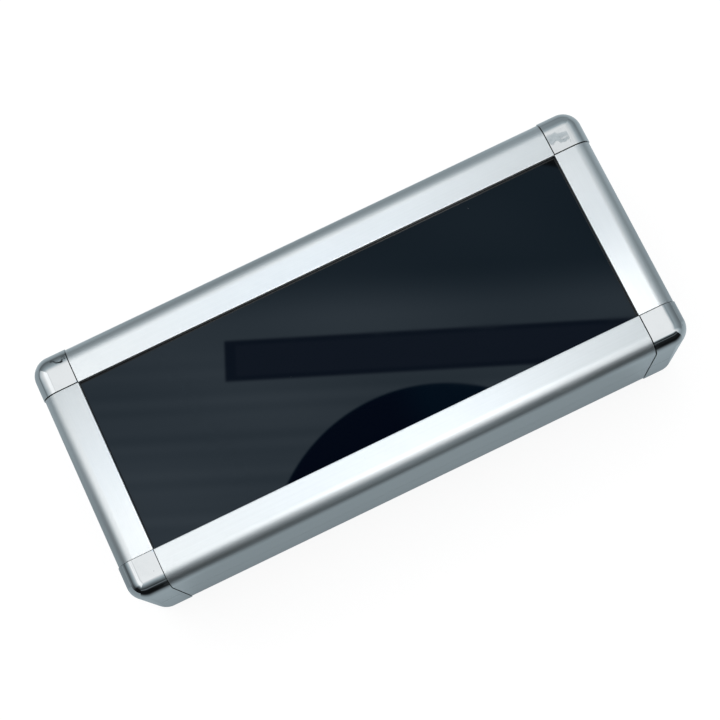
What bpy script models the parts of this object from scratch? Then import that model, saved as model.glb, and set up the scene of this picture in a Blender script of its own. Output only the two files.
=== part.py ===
"""Eyelash storage box: a hinged aluminium case with black panels and a tray of lash tiles.

Metres, +Z up. The long side runs along X and the front faces -Y. The origin is at the middle of
the bounding box, on the plane that the closed case rests on.

The case is two like halves. Each half is drawn by depth, counted from the plane of its outer
flange towards the plane where the halves part, and by inset, counted inwards from the outer
faces of its rails.
"""
import math

import bmesh
import bpy
from mathutils import Matrix, Vector

# Case, measured over the rails
CASE_LENGTH = 0.2300
CASE_WIDTH = 0.1000
BASE_HEIGHT = 0.0300
LID_HEIGHT = 0.0300
PARTING_GAP = 0.0003
FIT_GAP = 0.0003
OVERRUN = 0.0010

# Rails: extruded section with a flange whose inner edge turns down onto the panel, a rounded
# edge, a wall and a groove for the panel
WALL = 0.0013
FLANGE_WIDTH = 0.0152
TURNED_EDGE_DEPTH = 0.0023
TURNED_EDGE_THICKNESS = 0.0012
EDGE_RADIUS = 0.0070
GROOVE_DEPTH = 0.0040
GROOVE_WEB = 0.0012
JAW_REACH = 0.0025
JAW_THICKNESS = 0.0012
LIP_THICKNESS = 0.0010
LIP_HEIGHT = 0.0025
LIP_ROOT = 0.0025

# Corner pieces: castings a little proud of the rails, with a key for each rail
CORNER_PROUD = 0.0003
CORNER_FACE_PROUD = 0.0003
CORNER_RADIUS = 0.0075
CORNER_EDGE_RADIUS = 0.0070
SEAM_GAP = 0.0003
KEY_WIDTH = 0.0040
KEY_DEPTH = 0.0033
KEY_LENGTH = 0.0120
KEY_BOSS_INSET = 0.0006

# Panels
PANEL_THICKNESS = 0.0020
PANEL_CORNER_RADIUS = 0.0015

# Foam tray in the base and foam liner in the lid
TRAY_FLOOR = 0.0030
TRAY_END_WALL = 0.0161
TRAY_SIDE_WALL = 0.0141
LINER_CEILING = 0.0030
WELL_CORNER_RADIUS = 0.0055
FINGER_RADIUS = 0.0110
FINGER_STEP = 0.0020

# Lash tiles, which fill the tray's well, and the spacer bars that they stand on
TILE_THICKNESS = 0.0020
TILE_CORNER_RADIUS = 0.0050
TILE_PLAY = 0.0010
SPACER_HEIGHT = 0.0040
SPACER_WIDTH = 0.0060
SPACER_INSET = 0.0030
SPACER_END_INSET = 0.0040
SPACER_CORNER_RADIUS = 0.0010
LASH_ROOM = 0.0040

# Magnets in the tray and steel discs in the liner, placed by the distance from the case's end
MAGNET_RADIUS = 0.0040
MAGNET_THICKNESS = 0.0020
MAGNET_END_DISTANCE = 0.0550

# Hinges, placed by the distance of their middle from the case's end
HINGE_END_DISTANCE = 0.0450
HINGE_WIDTH = 0.0300
LEAF_HEIGHT = 0.0100
LEAF_THICKNESS = 0.0008
LEAF_CHAMFER = 0.0010
KNUCKLE_RADIUS = 0.0022
PIN_RADIUS = 0.0008
PIN_HEAD_RADIUS = 0.0014
PIN_HEAD_LENGTH = 0.0008
RIVET_RADIUS = 0.0010
RIVET_HEAD_RADIUS = 0.0018
RIVET_HEAD_HEIGHT = 0.0006
RIVET_TAIL_RADIUS = 0.0016
RIVET_END_DISTANCE = 0.0060
RIVET_DROP = 0.0065

# Counts of flat faces on round shapes, and shares of the sizes that they follow
EDGE_SEGMENTS = 8
CORNER_SEGMENTS = 8
ROUND_SIDES = 16
KNUCKLE_COUNT = 3
SHELL_SMOOTH_ANGLE = math.radians(25)
ROUND_SMOOTH_ANGLE = math.radians(35)
FILLET_SHARE = 0.95
BOSS_SEAT_SHARE = 0.75
KEY_CHAMFER_SHARE = 0.30
TAB_FOOT_SHARE = 0.30
DOME_RADIUS_SHARE = 0.60
DOME_HEIGHT_SHARE = 0.50

# Depths and insets that follow from the sizes above
HALF_LENGTH = CASE_LENGTH / 2
HALF_WIDTH = CASE_WIDTH / 2
WEB_INNER = FLANGE_WIDTH - GROOVE_DEPTH
WEB_OUTER = WEB_INNER - GROOVE_WEB
RAIL_EDGE_RADIUS = min(EDGE_RADIUS, WEB_OUTER)
PANEL_FACE = TURNED_EDGE_DEPTH + FIT_GAP
JAW_FACE = PANEL_FACE + PANEL_THICKNESS + FIT_GAP
JAW_UNDER = JAW_FACE + JAW_THICKNESS
FOAM_SEAT = JAW_UNDER + FIT_GAP
LIP_OUTER = WALL + FIT_GAP
LIP_INNER = LIP_OUTER + LIP_THICKNESS
TRAY_INSET = LIP_INNER + FIT_GAP
CORNER_CENTRE = CORNER_RADIUS - CORNER_PROUD

# Levels above the plane that the case rests on
BASE_PLANE = CORNER_FACE_PROUD
PARTING_PLANE = BASE_PLANE + BASE_HEIGHT
LID_PLANE = PARTING_PLANE + LID_HEIGHT

# Hinge axis: the knuckles clear the back wall, so the lid turns over without touching the base
AXIS_OFFSET = FIT_GAP + KNUCKLE_RADIUS
AXIS_Y = HALF_WIDTH + AXIS_OFFSET
LEAF_INNER_Y = HALF_WIDTH + FIT_GAP
LEAF_OUTER_Y = LEAF_INNER_Y + LEAF_THICKNESS
LEAF_EDGE = KNUCKLE_RADIUS + FIT_GAP
HINGE_X = HALF_LENGTH - HINGE_END_DISTANCE
HALF_HINGE = HINGE_WIDTH / 2
KNUCKLE_LENGTH = (HINGE_WIDTH - (KNUCKLE_COUNT - 1) * FIT_GAP) / KNUCKLE_COUNT
BORE_RADIUS = PIN_RADIUS + FIT_GAP
RIVET_HOLE_RADIUS = RIVET_RADIUS + FIT_GAP

# The case's middle lies forward of the bounding box's middle by half of what the hinges add
FRONT_REACH = HALF_WIDTH + CORNER_PROUD
BACK_REACH = AXIS_Y + KNUCKLE_RADIUS
CASE_Y = (FRONT_REACH - BACK_REACH) / 2

# Tile stack: as many tiles as fit between the tray's floor and the liner's ceiling
WELL_FLOOR = FOAM_SEAT + TRAY_FLOOR
TILE_PITCH = SPACER_HEIGHT + FIT_GAP + TILE_THICKNESS + FIT_GAP
WELL_HEIGHT = BASE_HEIGHT + LID_HEIGHT - WELL_FLOOR - FOAM_SEAT - LINER_CEILING
TILE_COUNT = int((WELL_HEIGHT - LASH_ROOM) / TILE_PITCH)
STACK_RISE = max(WELL_FLOOR + TILE_COUNT * TILE_PITCH - BASE_HEIGHT, 0)
WELL_HALF_LENGTH = HALF_LENGTH - TRAY_INSET - TRAY_END_WALL
WELL_HALF_WIDTH = HALF_WIDTH - TRAY_INSET - TRAY_SIDE_WALL
TILE_HALF_LENGTH = WELL_HALF_LENGTH - TILE_PLAY
TILE_HALF_WIDTH = WELL_HALF_WIDTH - TILE_PLAY

# The liner clears the base's lip and the tile stack while the lid turns about its axis
LIP_SWEEP = math.hypot(LIP_INNER + AXIS_OFFSET, LIP_HEIGHT)
LINER_INSET = LIP_SWEEP - AXIS_OFFSET + FIT_GAP
STACK_REACH = AXIS_Y + WELL_HALF_WIDTH
STACK_SWEEP = STACK_REACH - math.sqrt(STACK_REACH ** 2 - STACK_RISE ** 2)
LINER_WELL_HALF_WIDTH = WELL_HALF_WIDTH + STACK_SWEEP + FIT_GAP
MAGNET_X = HALF_LENGTH - MAGNET_END_DISTANCE
MAGNET_Y = -(HALF_WIDTH - TRAY_INSET + WELL_HALF_WIDTH) / 2

# Each half: the level of its flange plane, the direction of depth, its height and its rails' lip
HALVES = {
    "base": {"plane": BASE_PLANE, "inward": 1, "height": BASE_HEIGHT, "has_lip": True},
    "lid": {"plane": LID_PLANE, "inward": -1, "height": LID_HEIGHT, "has_lip": False},
}
SIDES = {"left": -1, "right": 1}
ENDS = {"front": -1, "back": 1}

# For each axis of a round solid: the directions along it, across it and up
TURNING_FRAMES = {
    "X": ((1, 0, 0), (0, 1, 0), (0, 0, 1)),
    "Y": ((0, 1, 0), (1, 0, 0), (0, 0, 1)),
    "Z": ((0, 0, 1), (1, 0, 0), (0, 1, 0)),
}


def clear_scene():
    for old in list(bpy.data.objects):
        bpy.data.objects.remove(old, do_unlink=True)


def material(name, colour, roughness, metallic):
    made = bpy.data.materials.new(name)
    made.use_nodes = True
    shader = made.node_tree.nodes["Principled BSDF"]
    shader.inputs["Base Color"].default_value = (*colour, 1)
    shader.inputs["Roughness"].default_value = roughness
    shader.inputs["Metallic"].default_value = metallic
    made.diffuse_color = (*colour, 1)
    return made


def satin_aluminium():
    return material("satin_aluminium", (0.70, 0.72, 0.74), 0.34, 1)


def plated_chrome():
    return material("plated_chrome", (0.80, 0.82, 0.84), 0.08, 1)


def black_acrylic():
    return material("black_acrylic", (0.010, 0.013, 0.016), 0.06, 0)


def black_foam():
    return material("black_foam", (0.018, 0.018, 0.020), 0.90, 0)


def white_acrylic():
    return material("white_acrylic", (0.80, 0.81, 0.82), 0.12, 0)


def soft_rubber():
    return material("soft_rubber", (0.030, 0.030, 0.032), 0.65, 0)


def plated_steel():
    return material("plated_steel", (0.62, 0.62, 0.60), 0.25, 1)


def loft(name, rings):
    """Closed solid through rings of equally many points, with flat ends."""
    mesh = bpy.data.meshes.new(name)
    shape = bmesh.new()
    loops = [[shape.verts.new(point) for point in ring] for ring in rings]
    for first, second in zip(loops, loops[1:]):
        for here in range(len(first)):
            after = (here + 1) % len(first)
            shape.faces.new((first[here], first[after], second[after], second[here]))
    shape.faces.new(loops[0])
    shape.faces.new(loops[-1])
    bmesh.ops.recalc_face_normals(shape, faces=shape.faces)
    shape.to_mesh(mesh)
    shape.free()
    made = bpy.data.objects.new(name, mesh)
    bpy.context.scene.collection.objects.link(made)
    return made


def combine(target, tool, operation):
    """Cut the target by the tool, or join them, and drop the tool."""
    step = target.modifiers.new(operation.lower(), "BOOLEAN")
    step.operation = operation
    step.solver = "EXACT"
    step.object = tool
    graph = bpy.context.evaluated_depsgraph_get()
    shaped = bpy.data.meshes.new_from_object(target.evaluated_get(graph))
    target.modifiers.remove(step)
    target.data = shaped
    bpy.data.objects.remove(tool, do_unlink=True)


def gathered(name, tools):
    """One cutter made of several closed shapes that don't touch."""
    mesh = bpy.data.meshes.new(name)
    shape = bmesh.new()
    for tool in tools:
        shape.from_mesh(tool.data)
        bpy.data.objects.remove(tool, do_unlink=True)
    shape.to_mesh(mesh)
    shape.free()
    made = bpy.data.objects.new(name, mesh)
    bpy.context.scene.collection.objects.link(made)
    return made


def finish(target, surface, smooth_angle=None):
    target.data.materials.clear()
    target.data.materials.append(surface)
    if smooth_angle is not None:
        target.data.shade_smooth()
        target.data.set_sharp_from_angle(angle=smooth_angle)
    return target


def level(half, depth):
    return half["plane"] + half["inward"] * depth


def quarter_steps(count):
    return [math.pi / 2 * step / count for step in range(count + 1)]


def rounded_rectangle(half_x, half_y, radius):
    """Outline, anticlockwise, with an arc at each corner."""
    points = []
    for quarter, (side_x, side_y) in enumerate(((1, 1), (-1, 1), (-1, -1), (1, -1))):
        for angle in quarter_steps(CORNER_SEGMENTS):
            turned_angle = angle + quarter * math.pi / 2
            x = side_x * (half_x - radius) + radius * math.cos(turned_angle)
            y = side_y * (half_y - radius) + radius * math.sin(turned_angle)
            points.append((x, y))
    return points


def slab(name, half_x, half_y, radius, low, high, centre=(0, 0)):
    """Flat plate with rounded corners between two levels."""
    outline = rounded_rectangle(half_x, half_y, radius)
    rings = [[(x + centre[0], y + centre[1], z) for x, y in outline] for z in (low, high)]
    return loft(name, rings)


def turned(name, stations, centre, axis):
    """Round solid from (place along the axis, radius) stations."""
    rings = []
    for place, radius in stations:
        ring = []
        for side in range(ROUND_SIDES):
            angle = 2 * math.pi * side / ROUND_SIDES
            amounts = (place, radius * math.cos(angle), radius * math.sin(angle))
            ring.append([middle + sum(amount * part for amount, part in zip(amounts, parts))
                         for middle, parts in zip(centre, zip(*TURNING_FRAMES[axis]))])
        rings.append(ring)
    return loft(name, rings)


def rail_section(half):
    """Closed section of a rail as (inset, depth) points, from the parting edge round the outside."""
    foot = half["height"] - PARTING_GAP / 2
    outer, inner = RAIL_EDGE_RADIUS, RAIL_EDGE_RADIUS - WALL
    points = [(0, foot)]
    for angle in reversed(quarter_steps(EDGE_SEGMENTS)):
        points.append((outer - outer * math.sin(angle), outer - outer * math.cos(angle)))
    jaw_end = WEB_INNER + JAW_REACH
    turned_edge = FLANGE_WIDTH - TURNED_EDGE_THICKNESS
    points += [(FLANGE_WIDTH, 0), (FLANGE_WIDTH, TURNED_EDGE_DEPTH), (turned_edge, TURNED_EDGE_DEPTH),
               (turned_edge, WALL), (WEB_INNER, WALL), (WEB_INNER, JAW_FACE), (jaw_end, JAW_FACE),
               (jaw_end, JAW_UNDER), (WEB_OUTER, JAW_UNDER), (WEB_OUTER, WALL)]
    for angle in quarter_steps(EDGE_SEGMENTS):
        if outer < WEB_OUTER or angle > 0:
            points.append((outer - inner * math.sin(angle), outer - inner * math.cos(angle)))
    if half["has_lip"]:
        lip_top = half["height"] + LIP_HEIGHT
        points += [(WALL, foot - LIP_ROOT), (LIP_INNER, foot - LIP_ROOT), (LIP_INNER, lip_top),
                   (LIP_OUTER, lip_top), (LIP_OUTER, foot)]
    else:
        points.append((WALL, foot))
    return points


def long_rail(name, half, end):
    """Front or back rail, between the seams at the panel opening's corners."""
    reach = HALF_LENGTH - FLANGE_WIDTH
    section = rail_section(half)
    rings = [[(x, end * (HALF_WIDTH - inset), level(half, depth)) for inset, depth in section]
             for x in (-reach, reach)]
    return loft(name, rings)


def short_rail(name, half, side):
    reach = HALF_WIDTH - FLANGE_WIDTH
    section = rail_section(half)
    rings = [[(side * (HALF_LENGTH - inset), y, level(half, depth)) for inset, depth in section]
             for y in (-reach, reach)]
    return loft(name, rings)


def corner_block(name, half, place, face, edge_radius, vertical_radius, reach, end_depth, face_depth):
    """Rounded block over a corner: face is the inset of its outer sides, reach that of its inner ones."""
    side, end = place
    edge = min(edge_radius, FILLET_SHARE * vertical_radius)
    rings = []
    levels = [(edge - edge * math.sin(angle), face_depth + edge - edge * math.cos(angle))
              for angle in quarter_steps(EDGE_SEGMENTS)]
    for drawn_in, depth in levels + [(0, end_depth)]:
        radius = vertical_radius - drawn_in
        centre = face + vertical_radius
        outline = [(reach, reach), (reach, face + drawn_in)]
        outline += [(centre - radius * math.sin(angle), centre - radius * math.cos(angle))
                    for angle in quarter_steps(CORNER_SEGMENTS)]
        outline.append((face + drawn_in, reach))
        rings.append([(side * (HALF_LENGTH - p), end * (HALF_WIDTH - q), level(half, depth))
                      for p, q in outline])
    return loft(name, rings)


def corner_key(half, place):
    """L-shaped key that lies in both rails, between the rounded edge and the groove's web."""
    side, end = place
    high = WEB_OUTER - FIT_GAP
    low = high - KEY_WIDTH
    clear_radius = RAIL_EDGE_RADIUS - WALL - FIT_GAP
    from_centre = RAIL_EDGE_RADIUS - low
    top = RAIL_EDGE_RADIUS - math.sqrt(max(clear_radius ** 2 - from_centre ** 2, 0))
    tip = FLANGE_WIDTH + KEY_LENGTH
    cut = low + KEY_CHAMFER_SHARE * KEY_WIDTH
    outline = [(cut, low), (tip, low), (tip, high), (high, high), (high, tip), (low, tip), (low, cut)]
    seat_low, seat_high, seat_cut = low + KEY_BOSS_INSET, high - KEY_BOSS_INSET, cut + KEY_BOSS_INSET
    boss_outline = [(seat_cut, seat_low), (seat_high, seat_low), (seat_high, seat_high),
                    (seat_low, seat_high), (seat_low, seat_cut)]
    boss_depths = (WALL * BOSS_SEAT_SHARE, top + KEY_DEPTH / 2)

    def solid(name, points, depths):
        return loft(name, [[(side * (HALF_LENGTH - p), end * (HALF_WIDTH - q), level(half, depth))
                            for p, q in points] for depth in depths])

    key = solid("key", outline, (top, top + KEY_DEPTH))
    combine(key, solid("boss", boss_outline, boss_depths), "UNION")
    return key


def corner_piece(name, half, place):
    """Casting that caps a corner: an outer block less its hollow, with its key."""
    foot = half["height"] - PARTING_GAP / 2
    piece = corner_block(name, half, place, -CORNER_PROUD, CORNER_EDGE_RADIUS, CORNER_RADIUS,
                         FLANGE_WIDTH - SEAM_GAP, foot, -CORNER_FACE_PROUD)
    hollow = corner_block("hollow", half, place, WALL, RAIL_EDGE_RADIUS - WALL, CORNER_CENTRE - WALL,
                          FLANGE_WIDTH + OVERRUN, foot + OVERRUN, WALL)
    combine(piece, hollow, "DIFFERENCE")
    combine(piece, corner_key(half, place), "UNION")
    return piece


def panel(name, half):
    inset = WEB_INNER + FIT_GAP
    return slab(name, HALF_LENGTH - inset, HALF_WIDTH - inset, PANEL_CORNER_RADIUS,
                level(half, PANEL_FACE), level(half, PANEL_FACE + PANEL_THICKNESS))


def foam_block(name, half, inset):
    """Block that fills the inside of a half, seated on the jaws of the rails."""
    radius = max(CORNER_CENTRE - inset, PANEL_CORNER_RADIUS)
    return slab(name, HALF_LENGTH - inset, HALF_WIDTH - inset, radius,
                level(half, FOAM_SEAT), level(half, half["height"] - FIT_GAP))


def disc_places():
    return {side_name: (side * MAGNET_X, MAGNET_Y) for side_name, side in SIDES.items()}


def cut_disc_pockets(foam, half):
    depth = MAGNET_THICKNESS + FIT_GAP
    for x, y in disc_places().values():
        low = level(half, half["height"] - FIT_GAP - depth)
        high = level(half, half["height"] + OVERRUN)
        tool = turned("pocket", [(low, MAGNET_RADIUS + FIT_GAP), (high, MAGNET_RADIUS + FIT_GAP)],
                      (x, y, 0), "Z")
        combine(foam, tool, "DIFFERENCE")


def tray():
    """Foam tray: a well for the tiles, a finger cut-out at each end and pockets for the magnets."""
    half = HALVES["base"]
    foam = foam_block("base_tray", half, TRAY_INSET)
    rim = level(half, half["height"] + OVERRUN)
    well = slab("well", WELL_HALF_LENGTH, WELL_HALF_WIDTH, WELL_CORNER_RADIUS,
                level(half, WELL_FLOOR), rim)
    combine(foam, well, "DIFFERENCE")
    for side in SIDES.values():
        low = level(half, WELL_FLOOR + FINGER_STEP)
        finger = turned("finger", [(low, FINGER_RADIUS), (rim, FINGER_RADIUS)],
                        (side * WELL_HALF_LENGTH, 0, 0), "Z")
        combine(foam, finger, "DIFFERENCE")
    cut_disc_pockets(foam, half)
    return foam


def liner():
    """Foam liner of the lid: the well's upper part, a little wider so that it swings clear of the tiles."""
    half = HALVES["lid"]
    foam = foam_block("lid_liner", half, LINER_INSET)
    well = slab("well", WELL_HALF_LENGTH, LINER_WELL_HALF_WIDTH, WELL_CORNER_RADIUS,
                level(half, FOAM_SEAT + LINER_CEILING), level(half, half["height"] + OVERRUN))
    combine(foam, well, "DIFFERENCE")
    cut_disc_pockets(foam, half)
    return foam


def disc(name, half, side_name):
    """Round magnet or steel disc, flush with the foam that holds it."""
    x, y = disc_places()[side_name]
    near = level(half, half["height"] - FIT_GAP)
    far = level(half, half["height"] - FIT_GAP - MAGNET_THICKNESS)
    return turned(name, [(near, MAGNET_RADIUS), (far, MAGNET_RADIUS)], (x, y, 0), "Z")


def tile(number):
    """Flat lash tile, lifted by its spacer bars."""
    under = BASE_PLANE + WELL_FLOOR + number * TILE_PITCH - TILE_THICKNESS
    return slab(f"tile_{number}", TILE_HALF_LENGTH, TILE_HALF_WIDTH, TILE_CORNER_RADIUS,
                under, under + TILE_THICKNESS)


def spacer(number, side_name):
    """Soft bar under one end of a tile."""
    under = BASE_PLANE + WELL_FLOOR + (number - 1) * TILE_PITCH + FIT_GAP
    middle = TILE_HALF_LENGTH - SPACER_INSET - SPACER_WIDTH / 2
    return slab(f"tile_{number}_spacer_{side_name}", SPACER_WIDTH / 2, TILE_HALF_WIDTH - SPACER_END_INSET,
                SPACER_CORNER_RADIUS, under, under + SPACER_HEIGHT, (SIDES[side_name] * middle, 0))


def rivet_places(half_name):
    drop = RIVET_DROP if half_name == "lid" else -RIVET_DROP
    reach = HALF_HINGE - RIVET_END_DISTANCE
    return {f"{hinge}_{side_name}": (HINGE_X * SIDES[hinge] + reach * side, PARTING_PLANE + drop)
            for hinge in SIDES for side_name, side in SIDES.items()}


def cut_rivet_holes(target, half_name):
    """Holes through whatever the rivets pass: the back wall, or a hinge leaf."""
    stations = [(HALF_WIDTH - WALL - OVERRUN, RIVET_HOLE_RADIUS),
                (LEAF_OUTER_Y + OVERRUN, RIVET_HOLE_RADIUS)]
    low_x = min(vertex.co.x for vertex in target.data.vertices)
    high_x = max(vertex.co.x for vertex in target.data.vertices)
    holes = [turned("hole", stations, (x, 0, z), "Y")
             for x, z in rivet_places(half_name).values() if low_x < x < high_x]
    combine(target, gathered("holes", holes), "DIFFERENCE")


def rivet(name, x, z):
    """Rivet through a leaf and the wall behind it: domed head outside, flat tail inside."""
    head_foot = LEAF_OUTER_Y + FIT_GAP
    tail_face = HALF_WIDTH - WALL - FIT_GAP
    dome_foot = head_foot + RIVET_HEAD_HEIGHT * DOME_HEIGHT_SHARE
    stations = [(head_foot + RIVET_HEAD_HEIGHT, RIVET_HEAD_RADIUS * DOME_RADIUS_SHARE),
                (dome_foot, RIVET_HEAD_RADIUS), (head_foot, RIVET_HEAD_RADIUS),
                (head_foot, RIVET_RADIUS), (tail_face, RIVET_RADIUS),
                (tail_face, RIVET_TAIL_RADIUS), (tail_face - RIVET_HEAD_HEIGHT, RIVET_TAIL_RADIUS)]
    return turned(name, stations, (x, 0, z), "Y")


def knuckle_spans(half_name):
    """Stretches of a hinge's width that belong to one leaf's knuckles."""
    spans = []
    for place in range(KNUCKLE_COUNT):
        start = -HALF_HINGE + place * (KNUCKLE_LENGTH + FIT_GAP)
        if (place % 2 == 0) == (half_name == "base"):
            spans.append((start, start + KNUCKLE_LENGTH))
    return spans


def leaf_outline(half_name):
    """Outline of a leaf as (x, distance from the axis): a plate with a tab down to each knuckle."""
    foot = KNUCKLE_RADIUS * TAB_FOOT_SHARE
    spans = knuckle_spans(half_name)
    points = [(HALF_HINGE, LEAF_HEIGHT - LEAF_CHAMFER), (HALF_HINGE - LEAF_CHAMFER, LEAF_HEIGHT),
              (-HALF_HINGE + LEAF_CHAMFER, LEAF_HEIGHT), (-HALF_HINGE, LEAF_HEIGHT - LEAF_CHAMFER)]
    if half_name == "lid":
        points.append((-HALF_HINGE, LEAF_EDGE))
    for start, stop in spans:
        points += [(start, LEAF_EDGE), (start, foot), (stop, foot), (stop, LEAF_EDGE)]
    if half_name == "lid":
        points.append((HALF_HINGE, LEAF_EDGE))
    return points


def hinge_leaf(name, half_name, hinge):
    middle = HINGE_X * SIDES[hinge]
    away = 1 if half_name == "lid" else -1
    outline = leaf_outline(half_name)
    leaf = loft(name, [[(middle + x, y, PARTING_PLANE + away * distance) for x, distance in outline]
                       for y in (LEAF_INNER_Y, LEAF_OUTER_Y)])
    centre = (middle, AXIS_Y, PARTING_PLANE)
    for start, stop in knuckle_spans(half_name):
        barrel = turned("knuckle", [(start, KNUCKLE_RADIUS), (stop, KNUCKLE_RADIUS)], centre, "X")
        combine(leaf, barrel, "UNION")
    reach = HALF_HINGE + OVERRUN
    combine(leaf, turned("bore", [(-reach, BORE_RADIUS), (reach, BORE_RADIUS)], centre, "X"), "DIFFERENCE")
    cut_rivet_holes(leaf, half_name)
    return leaf


def hinge_pin(name, hinge):
    """Pin through the knuckles, with a head at each end."""
    head = HALF_HINGE + FIT_GAP
    tip = head + PIN_HEAD_LENGTH
    stations = [(-tip, PIN_HEAD_RADIUS * DOME_RADIUS_SHARE), (-tip + PIN_HEAD_LENGTH / 2, PIN_HEAD_RADIUS),
                (-head, PIN_HEAD_RADIUS), (-head, PIN_RADIUS), (head, PIN_RADIUS), (head, PIN_HEAD_RADIUS),
                (tip - PIN_HEAD_LENGTH / 2, PIN_HEAD_RADIUS), (tip, PIN_HEAD_RADIUS * DOME_RADIUS_SHARE)]
    return turned(name, stations, (HINGE_X * SIDES[hinge], AXIS_Y, PARTING_PLANE), "X")


def shell_pieces(half_name, surfaces):
    """Rails, corner pieces and panel of one half."""
    half = HALVES[half_name]
    smooth = SHELL_SMOOTH_ANGLE
    made = []
    for end_name, end in ENDS.items():
        rail = long_rail(f"{half_name}_rail_{end_name}", half, end)
        if end_name == "back":
            cut_rivet_holes(rail, half_name)
        made.append(finish(rail, surfaces["aluminium"], smooth))
    for side_name, side in SIDES.items():
        rail = short_rail(f"{half_name}_rail_{side_name}", half, side)
        made.append(finish(rail, surfaces["aluminium"], smooth))
    for end_name, end in ENDS.items():
        for side_name, side in SIDES.items():
            corner = corner_piece(f"{half_name}_corner_{end_name}_{side_name}", half, (side, end))
            made.append(finish(corner, surfaces["chrome"], smooth))
    made.append(finish(panel(f"{half_name}_panel", half), surfaces["acrylic"]))
    return made


def hinge_pieces(half_name, surfaces):
    """What one half carries of the hinges: leaves and rivets, and for the base the pins."""
    smooth = ROUND_SMOOTH_ANGLE
    made = []
    for hinge in SIDES:
        leaf = hinge_leaf(f"hinge_{hinge}_{half_name}_leaf", half_name, hinge)
        made.append(finish(leaf, surfaces["chrome"], smooth))
        if half_name == "base":
            made.append(finish(hinge_pin(f"hinge_{hinge}_pin", hinge), surfaces["steel"], smooth))
    for place_name, (x, z) in rivet_places(half_name).items():
        made.append(finish(rivet(f"rivet_{half_name}_{place_name}", x, z), surfaces["chrome"], smooth))
    return made


def base_contents(surfaces):
    """Tray, magnets and the stack of tiles."""
    made = [finish(tray(), surfaces["foam"])]
    smooth = ROUND_SMOOTH_ANGLE
    for side_name in SIDES:
        magnet = disc(f"base_magnet_{side_name}", HALVES["base"], side_name)
        made.append(finish(magnet, surfaces["steel"], smooth))
    for number in range(1, TILE_COUNT + 1):
        made.append(finish(tile(number), surfaces["tile"], smooth))
        made += [finish(spacer(number, side_name), surfaces["rubber"], smooth) for side_name in SIDES]
    return made


def lid_contents(surfaces):
    made = [finish(liner(), surfaces["foam"])]
    smooth = ROUND_SMOOTH_ANGLE
    for side_name in SIDES:
        strike = disc(f"lid_strike_{side_name}", HALVES["lid"], side_name)
        made.append(finish(strike, surfaces["steel"], smooth))
    return made


def hang_on(parent_name, place, pieces):
    """Put pieces under an empty, which holds their origin: the case's middle, or the hinge axis."""
    parent = bpy.data.objects.new(parent_name, None)
    parent.location = place
    bpy.context.scene.collection.objects.link(parent)
    shift = Matrix.Translation(Vector((0, CASE_Y, 0)) - Vector(place))
    for piece in pieces:
        piece.data.transform(shift)
        piece.parent = parent


def build():
    clear_scene()
    surfaces = {"aluminium": satin_aluminium(), "chrome": plated_chrome(), "acrylic": black_acrylic(),
                "foam": black_foam(), "tile": white_acrylic(), "rubber": soft_rubber(),
                "steel": plated_steel()}
    base = shell_pieces("base", surfaces) + base_contents(surfaces) + hinge_pieces("base", surfaces)
    lid = shell_pieces("lid", surfaces) + lid_contents(surfaces) + hinge_pieces("lid", surfaces)
    hang_on("base_origin", (0, 0, 0), base)
    hang_on("lid_axis", (0, AXIS_Y + CASE_Y, PARTING_PLANE), lid)


build()
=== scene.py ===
import math

import bmesh
import bpy
import numpy as np
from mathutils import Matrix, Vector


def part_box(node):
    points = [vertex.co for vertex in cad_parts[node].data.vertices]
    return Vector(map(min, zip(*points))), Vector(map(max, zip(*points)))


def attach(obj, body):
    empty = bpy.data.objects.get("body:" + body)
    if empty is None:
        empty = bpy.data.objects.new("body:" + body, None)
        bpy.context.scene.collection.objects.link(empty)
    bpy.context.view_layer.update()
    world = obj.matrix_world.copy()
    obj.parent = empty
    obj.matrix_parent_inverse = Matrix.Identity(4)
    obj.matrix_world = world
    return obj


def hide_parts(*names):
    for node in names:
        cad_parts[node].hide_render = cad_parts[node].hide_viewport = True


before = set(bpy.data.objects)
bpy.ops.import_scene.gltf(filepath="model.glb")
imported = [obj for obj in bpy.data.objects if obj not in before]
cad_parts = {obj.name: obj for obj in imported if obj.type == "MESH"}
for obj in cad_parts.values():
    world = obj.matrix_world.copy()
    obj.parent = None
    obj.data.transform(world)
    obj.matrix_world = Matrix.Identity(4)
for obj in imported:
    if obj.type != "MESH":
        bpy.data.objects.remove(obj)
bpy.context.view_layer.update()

# A slim case for eyelash tiles: satin aluminium rails, chromed corner castings and glossy black
# panels, lined with foam and hinged at the back. Everything is in metres, +Z up, front towards -Y.

# Section of the rails
WALL = 0.0013
TURNED_EDGE_DEPTH = 0.0023
TURNED_EDGE_THICKNESS = 0.0012
EDGE_RADIUS = 0.0070
GROOVE_DEPTH = 0.0040
GROOVE_WEB = 0.0012
JAW_REACH = 0.0025
JAW_THICKNESS = 0.0012
PANEL_THICKNESS = 0.0020
LIP_THICKNESS = 0.0010
LIP_HEIGHT = 0.0025
LIP_ROOT = 0.0025
FIT_GAP = 0.0003
PARTING_GAP = 0.0003
EDGE_BREAK = 0.00025
SAW_BREAK = 0.00010

# Corner castings
CORNER_PROUD = 0.0003
CORNER_FACE_PROUD = 0.0003
CORNER_RADIUS = 0.0075
CORNER_EDGE_RADIUS = 0.0070
SEAM_GAP = 0.0003
TIGHT_SEAM_GAP = 0.0002

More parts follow.
